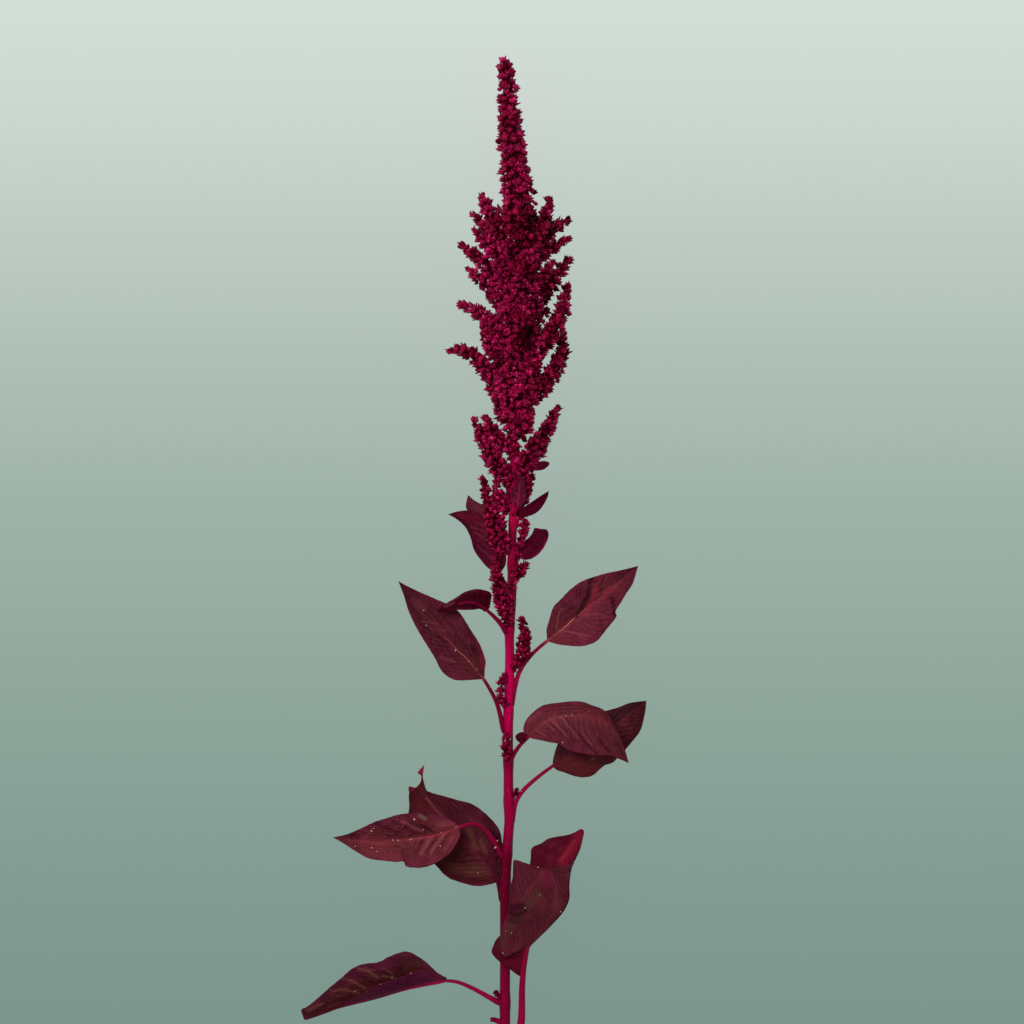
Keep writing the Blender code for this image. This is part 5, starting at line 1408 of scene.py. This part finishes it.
class Spike:
    """The path, thickness and frames of one flower spike, and how its tufts stand."""

    def __init__(self, points, radius, lean=0.85, root=0.6, spacing=1.0, florets=5, spread=0.6, tone=0.0,
                 size=1.0, ragged=0.55):
        length = np.linalg.norm(np.diff(np.array(points, float), axis=0), axis=1).sum()
        count = max(8, int(length / 1.5))
        share = np.linspace(0, 1, count)
        self.path = rows_at(spline(points, count), share * (1 - TIP_SHORT * FLORET_REACH / length))
        self.length = length - TIP_SHORT * FLORET_REACH
        if np.ndim(radius):
            self.radii = np.interp(share, np.linspace(0, 1, len(radius)), radius)
        else:
            self.radii = radius * (root + (1 - root) * np.minimum(share * 4, 1)) * (1 - 0.62 * share**3)
        self.path[:, 2] = np.maximum(self.path[:, 2], self.radii * 0.9)
        self.along, self.ups, self.sides = carried_frames(self.path)
        self.lean = lean
        self.spacing = spacing
        self.florets = florets
        self.spread = spread
        self.tone = tone
        self.size = size
        self.ragged = ragged


def tufts_of(spike, spacing, draw):
    """Foot, direction, size and brightness of each tuft of florets on a spike."""
    spacing = spacing * spike.spacing
    stops = np.linspace(0, 1, len(spike.radii))
    feet = np.maximum(0.45, spike.radii - FOOT_DEPTH * FLORET_REACH)
    # Set on a spiral whose turns lie as far apart as the tufts of one turn
    crowd = 2 * math.pi * (feet + 1.3) / (0.86 * spacing**2)
    steps = (crowd[1:] + crowd[:-1]) / 2 * np.diff(stops) * spike.length
    passed = np.concatenate([[0], np.cumsum(steps)])
    made = []
    for k in range(int(passed[-1])):
        share = float(np.interp(k + draw.uniform(0.1, 0.9), passed, stops))
        at = np.array([share])
        centre = rows_at(spike.path, at)[0]
        along, up, side = (unit(rows_at(v, at)[0]) for v in (spike.along, spike.ups, spike.sides))
        turn = k * GOLDEN_ANGLE + draw.uniform(-0.3, 0.3)
        # The tufts stand in knots, and the outline is notched between them
        knot = math.sin(2 * math.pi * share * spike.length / (1.4 * spacing) + 1.6 * math.sin(turn + 0.8))
        foot = np.interp(share, stops, feet) + spike.ragged * (0.9 * knot + 0.5 * draw.uniform(-1, 1))
        out = math.cos(turn) * side + math.sin(turn) * up
        lean = spike.lean * (1 + 1.6 * share**4) + draw.uniform(-0.2, 0.2)
        made.append((centre + out * foot + along * draw.uniform(-0.3, 0.3) * spacing,
                     unit(out + along * lean), draw.uniform(0.72, 1.22), draw.random(), along))
    tip = spike.path[-1]
    for k in range(3):
        made.append((tip - spike.along[-1] * k * 1.2,
                     unit(spike.along[-1] + 0.25 * spike.ups[-1] * (k - 1)),
                     0.80, draw.random(), spike.sides[-1]))
    return made


def seen(foot, spike, others):
    """False for a tuft that is buried inside another spike."""
    for other in others:
        if other is spike:
            continue
        if np.any(np.abs(other.path[0] - foot) > other.length + SPIKE_CLEAR):
            continue
        gaps = np.linalg.norm(other.path - foot, axis=1)
        nearest = int(np.argmin(gaps))
        if gaps[nearest] < 0.5 * other.radii[nearest]:
            return False
    return True


def in_hollow(foot):
    """True for a tuft that would close one of the hollows on the front of the head."""
    if foot[2] < table(STEM_HEIGHT, foot[1]) - 2:
        return False
    return any(math.hypot(foot[0] - across, foot[1] - along) < radius
               for across, along, radius in HOLLOWS)


def painted_shading_at(foot):
    """The change of tone that paints shade and light on the florets at this place of the head."""
    return sum(change * math.exp(-((foot[0] - across)**2 + (foot[1] - along)**2) / radius**2)
               for across, along, radius, change in PAINTED_SHADING)


def florets_of(spikes, others, length, spacing, draw):
    """Feet, directions, lengths with widths, and tones of all florets on some spikes."""
    made = []
    for spike in spikes:
        for foot, way, size, shade, along in tufts_of(spike, spacing, draw):
            if not seen(foot, spike, others) or in_hollow(foot):
                continue
            side = unit(np.cross(way, along) + 1e-6)
            up = np.cross(side, way)
            first = draw.uniform(0, 2 * math.pi)
            # The spike's tone, and the painted shade and light at this place of the head
            lit = spike.tone + painted_shading_at(foot)
            for k in range(spike.florets):
                turn = first + 2 * math.pi * k / max(1, spike.florets - 1)
                out = math.cos(turn) * side + math.sin(turn) * up
                spread = 0.0 if k == 0 else spike.spread * draw.uniform(0.7, 1.25)
                # One in four is a slender pointed bract, the others are plump
                long, wide = (1.14, 0.6) if k % 4 == 3 else (0.92, 1.0)
                long, wide = long * spike.size, wide * spike.size
                sizes = (size * long * draw.uniform(0.82, 1.18), size * wide * draw.uniform(0.85, 1.15))
                # Painted highlight: the floret in the middle of a tuft, which faces outwards, is the
                # brightest
                tone = 0.13 + 0.42 * shade + 0.48 * (draw.random()**1.6 - 0.2) + lit
                tone = min(1.0, max(0.0, tone + (0.16 if k == 0 else -0.03)))
                made.append((foot + 0.5 * spread * out, unit(way + spread * out), sizes, tone))
            if draw.random() < DRY_SHARE:
                made.append((foot + 0.8 * length * size * way, way, DRY_SIZE, DRY_TONE))
    return [np.array(column) for column in zip(*made)]


def laid_florets(mould, feet, ways, sizes, draw):
    """The mould's points as they lie in every floret, each turned by chance about its own length."""
    turned = np.array([draw.uniform(0, 2 * math.pi) for _ in range(len(feet))])
    slant = np.tile([0.31, 0.52, 0.79], (len(feet), 1))
    first = unit(np.cross(ways, slant))
    second = np.cross(ways, first)
    cosine, sine = np.cos(turned)[:, None], np.sin(turned)[:, None]
    first, second = first * cosine + second * sine, second * cosine - first * sine
    long, wide = sizes[:, 0, None, None], sizes[:, 1, None, None]
    laid = feet[:, None, :]
    for k, (way, size) in enumerate(((first, wide), (second, wide), (ways, long))):
        laid = laid + mould[None, :, k, None] * way[:, None, :] * size
    return laid.reshape(-1, 3)


def spike_piece(name, spikes, others, context, seed):
    """All florets and inner axes of some spikes, as one piece."""
    settings = context.scene.amaranth_floret
    draw = random.Random(seed)
    mould, mould_faces = floret_mould()
    length, width = settings.length / MM, settings.width / MM
    feet, ways, sizes, shades = florets_of(spikes, others, length, settings.spacing / MM, draw)
    points, faces = [], []
    total = 0
    for spike in spikes:
        core, core_faces = core_tube(spike)
        points.append(core)
        faces.append(core_faces + total)
        total += len(core)
    points.append(laid_florets(mould, feet, ways, sizes * (length, width), draw))
    starts = total + np.arange(len(feet)) * len(mould)
    faces.append((mould_faces[None, :, :] + starts[:, None, None]).reshape(-1, 3))
    points, faces = np.vstack(points), np.vstack(faces)
    points[:, 2] = np.maximum(points[:, 2], SURFACE_CLEAR)
    mesh = bpy.data.meshes.new(name)
    mesh.from_pydata(((points - np.array(ORIGIN)) * MM).tolist(), [], faces.tolist())
    # The inner axes get no tone and no tip, so they are painted near-black as shade deep in the spikes
    for label, values in (("tone", np.repeat(shades, len(mould))),
                          ("tip", np.tile(mould[:, 2], len(feet)))):
        layer = mesh.attributes.new(label, "FLOAT", "POINT")
        layer.data.foreach_set("value", np.concatenate([np.zeros(total), values]).astype(np.float32))
    piece = bpy.data.objects.new(name, mesh)
    context.scene.collection.objects.link(piece)
    only(piece)
    bpy.ops.object.shade_smooth()
    mesh.materials.append(floret_material(settings))
    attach(piece, "root")
    return piece


def core_tube(spike, sides=7):
    """The inner axis that carries the tufts of one spike; spike_piece colours it near-black as painted
    shade.
    """
    stops = np.linspace(0, 1, max(5, int(spike.length / 3)))
    path = rows_at(spike.path, stops)
    ups, across = unit(rows_at(spike.ups, stops)), unit(rows_at(spike.sides, stops))
    radii = np.interp(stops, np.linspace(0, 1, len(spike.radii)), spike.radii)
    radii = np.maximum(0.5, radii - CORE_DEPTH * FLORET_REACH)
    radii[-1] *= 0.3
    turn = 2 * math.pi * np.arange(sides) / sides
    rings = path[:, None, :] + radii[:, None, None] * (
        np.cos(turn)[None, :, None] * across[:, None, :] + np.sin(turn)[None, :, None] * ups[:, None, :])
    points = np.vstack([rings.reshape(-1, 3), path[0], path[-1]])
    faces = []
    for i in range(len(stops) - 1):
        for j in range(sides):
            a, b = i * sides + j, i * sides + (j + 1) % sides
            faces += [(a, b, b + sides), (a, b + sides, a + sides)]
    last = (len(stops) - 1) * sides
    for j in range(sides):
        after = (j + 1) % sides
        faces.append((len(points) - 2, after, j))
        faces.append((len(points) - 1, last + j, last + after))
    return points, np.array(faces)


def risen(points):
    """Points whose third number is a rise above the flowering axis, as real heights."""
    return [(across, along, rise + table(STEM_HEIGHT, along)) for across, along, rise in points]


def fill_spikes():
    """The side spikes that fill the front and the back of the head."""
    draw = random.Random(SEED)
    made = []
    for k in range(FILL_COUNT):
        share = k / (FILL_COUNT - 1)
        along = FILL_FROM + (FILL_TO - FILL_FROM) * share
        turn = k * GOLDEN_ANGLE
        length = draw.uniform(*FILL_LENGTH) * (0.85 + 0.3 * math.sin(math.pi * share))
        out = np.array([math.cos(turn) * 0.8, 0, math.sin(turn)])
        root = stalk_point(np.float64(along))
        reach = FILL_REACH * length
        ahead = length * math.sqrt(1 - FILL_REACH**2)
        middle = root + 0.55 * (reach * out + [0, ahead, 0])
        tip = root + reach * out + [0, ahead * 1.15, 0]
        glow, end = FILL_GLOW
        # Brighter towards the foot of the head, with painted shade on the right, which lies away from the
        # window
        tone = draw.uniform(*FILL_TONE) + glow * max(0.0, end - share) - FILL_SHADE * math.cos(turn)
        made.append(Spike([root, middle, tip], FILL_RADIUS, spacing=1.2, size=1.12, tone=tone))
    return made


class AMARANTH_OT_head(bpy.types.Operator):
    """Makes the seed head: its terminal spike and the side spikes to the left, right and middle"""

    bl_idname = "amaranth.head"
    bl_label = "Make the seed head"

    def execute(self, context):
        stops = np.linspace(AXIS_START, AXIS_END, 60)
        axis_path = stalk_point(stops)
        axis_path[:, 0] += table(AXIS_SWAY, stops)
        axis = Spike(axis_path, 1.0, lean=0.6, spacing=1.28, florets=7, spread=0.8, size=1.08, tone=0.03,
                     ragged=1.3)
        axis.radii = table(AXIS_RADIUS, np.linspace(AXIS_START, AXIS_END, len(axis.path)))
        outline = [Spike(risen(points), radius, spacing=1.08, size=1.06,
                         tone=RIGHT_PAINTED_SHADE if points[-1][0] > 0 else 0.0)
                   for points, radius in OUTLINE_SPIKES]
        left = [spike for spike in outline if spike.path[-1][0] < 0]
        right = [spike for spike in outline if spike.path[-1][0] >= 0]
        fill = fill_spikes()
        everything = [axis] + outline + fill
        for name, group, seed in (("florets_terminal", [axis], 11), ("florets_left", left, 12),
                                  ("florets_right", right, 13), ("florets_front", fill[0::2], 14),
                                  ("florets_back", fill[1::2], 15)):
            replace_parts(spike_piece(name, group, everything, context, seed), "seed_head")
        return {"FINISHED"}


class AMARANTH_OT_axillary(bpy.types.Operator):
    """Makes the flower spikes and buds in the leaf joints"""

    bl_idname = "amaranth.axillary"
    bl_label = "Make the spikes in the leaf joints"

    def execute(self, context):
        for order, (name, (points, radius)) in enumerate(AXILLARY_SPIKES.items()):
            points = [np.array(point, float) for point in points]
            points[0] = stalk_side(points[0], SPIKE_GRIP)
            if name.startswith("axil_bud"):
                looks = dict(spacing=0.5, size=0.5, tone=-0.3)
            else:
                looks = dict(spacing=0.85, size=0.88, tone=-0.08)
            spikes = [Spike(points, np.array(radius) + 0.3, root=0.4, **looks)]
            if name in BESIDE:
                spikes.append(Spike(*BESIDE[name], spacing=0.8, size=0.85, tone=-0.08))
            piece = spike_piece(name.replace("axil", "florets_axil", 1), spikes, [], context, 40 + order)
            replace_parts(piece, name)
        return {"FINISHED"}


# Stage


def floor_material():
    """A pale grey-green floor, lighter towards the plant's tip, with a faint paper tooth."""
    made, tree, shader = new_material("floor_paper")
    where = tree.node("ShaderNodeTexCoord")
    split = tree.node("ShaderNodeSeparateXYZ")
    tree.put(split.inputs[0], where.outputs["Object"])
    share = tree.maths("DIVIDE", tree.plus(split.outputs[1], FLOOR_FROM), FLOOR_REACH, clamp=True)
    stops = [(place, daylight(colour)) for place, colour in FLOOR_STOPS]
    tree.put(shader.inputs["Base Color"], tree.colour(share, stops))
    shader.inputs["Roughness"].default_value = 0.9
    shader.inputs["Specular IOR Level"].default_value = 0.1
    bumped(tree, shader, tree.noise(where.outputs["Object"], 1500.0, 2.0), 0.05, 0.0002)
    return made


class AMARANTH_OT_stage(bpy.types.Operator):
    """Sets the floor, the soft light and the camera that looks straight down.

    As behind a plant in a studio, the backdrop has a light of its own, so the plant throws only a
    faint shadow on it."""

    bl_idname = "amaranth.stage"
    bl_label = "Set the stage"

    def execute(self, context):
        settings = context.scene.amaranth_stage
        nothing_selected()
        bpy.ops.mesh.primitive_plane_add(size=FLOOR_SIZE)
        floor = context.object
        floor.name = "floor"
        floor.data.materials.append(floor_material())
        world = bpy.data.worlds.new("soft_room")
        world.use_nodes = True
        world.node_tree.nodes["Background"].inputs["Color"].default_value = (1.0, 1.0, 1.0, 1.0)
        world.node_tree.nodes["Background"].inputs["Strength"].default_value = ROOM_LIGHT
        context.scene.world = world
        for name, strength, place, spread, state, shadows in (
                ("window_light", settings.key, (-0.55, 0.5, 1.9), KEY_SPREAD, "EXCLUDE", True),
                ("ceiling_light", settings.sky, (0.0, 0.0, 2.0), CEILING_SPREAD, "EXCLUDE", True),
                ("backdrop_light", settings.backdrop, (-0.8, 0.5, 1.9), KEY_SPREAD, "INCLUDE", False)):
            nothing_selected()
            bpy.ops.object.light_add(type="SUN", location=place)
            light = context.object
            light.name = name
            light.data.angle = math.radians(spread)
            light.data.energy = strength
            light.data.use_shadow = shadows
            aim_at_origin(light)
            lit = bpy.data.collections.new(name + "_on")
            lit.objects.link(floor)
            lit.collection_objects[0].light_linking.link_state = state
            light.light_linking.receiver_collection = lit
        nothing_selected()
        away = FRAME_WIDTH * settings.lens / SENSOR
        bpy.ops.object.camera_add(location=(*VIEW_CENTRE, VIEW_HEIGHT + away), rotation=(0.0, 0.0, 0.0))
        camera = context.object
        camera.name = "long_lens"
        camera.data.lens = settings.lens
        camera.data.sensor_width = SENSOR
        camera.data.clip_start = 0.1
        camera.data.clip_end = 40.0
        context.scene.camera = camera
        context.scene.view_settings.view_transform = "Standard"
        return {"FINISHED"}


def aim_at_origin(light):
    """Turns a light so that it shines at the origin."""
    light.rotation_euler = (-light.location).to_track_quat("-Z", "Y").to_euler()


class AMARANTH_PT_panel(bpy.types.Panel):
    """Settings and buttons for the amaranth"""

    bl_idname = "AMARANTH_PT_panel"
    bl_label = "Amaranth"
    bl_space_type = "VIEW_3D"
    bl_region_type = "UI"
    bl_category = "Amaranth"

    def draw(self, context):
        for label, group, steps in (
                ("Stalk", "amaranth_stalk", ("amaranth.stalk",)),
                ("Leaves", "amaranth_leaf", ("amaranth.leaves", "amaranth.bracts")),
                ("Florets", "amaranth_floret", ("amaranth.head", "amaranth.axillary")),
                ("Stage", "amaranth_stage", ("amaranth.stage",))):
            box = self.layout.box()
            box.label(text=label)
            settings = getattr(context.scene, group)
            for key in settings.bl_rna.properties.keys():
                if key not in ("rna_type", "name"):
                    box.prop(settings, key)
            for step in steps:
                box.operator(step)


CLASSES = (StalkSettings, LeafSettings, FloretSettings, StageSettings, AMARANTH_OT_stalk,
           AMARANTH_OT_leaves, AMARANTH_OT_bracts, AMARANTH_OT_head, AMARANTH_OT_axillary,
           AMARANTH_OT_stage, AMARANTH_PT_panel)
GROUPS = {"amaranth_stalk": StalkSettings, "amaranth_leaf": LeafSettings,
          "amaranth_floret": FloretSettings, "amaranth_stage": StageSettings}


def register():
    for kind in CLASSES:
        bpy.utils.register_class(kind)
    for name, kind in GROUPS.items():
        setattr(bpy.types.Scene, name, bpy.props.PointerProperty(type=kind))


def unregister():
    for name in GROUPS:
        delattr(bpy.types.Scene, name)
    for kind in reversed(CLASSES):
        bpy.utils.unregister_class(kind)


def main():
    register()
    bpy.ops.amaranth.stage()
    bpy.ops.amaranth.stalk()
    bpy.ops.amaranth.leaves()
    bpy.ops.amaranth.bracts()
    bpy.ops.amaranth.head()
    bpy.ops.amaranth.axillary()


if __name__ == "__main__":
    main()
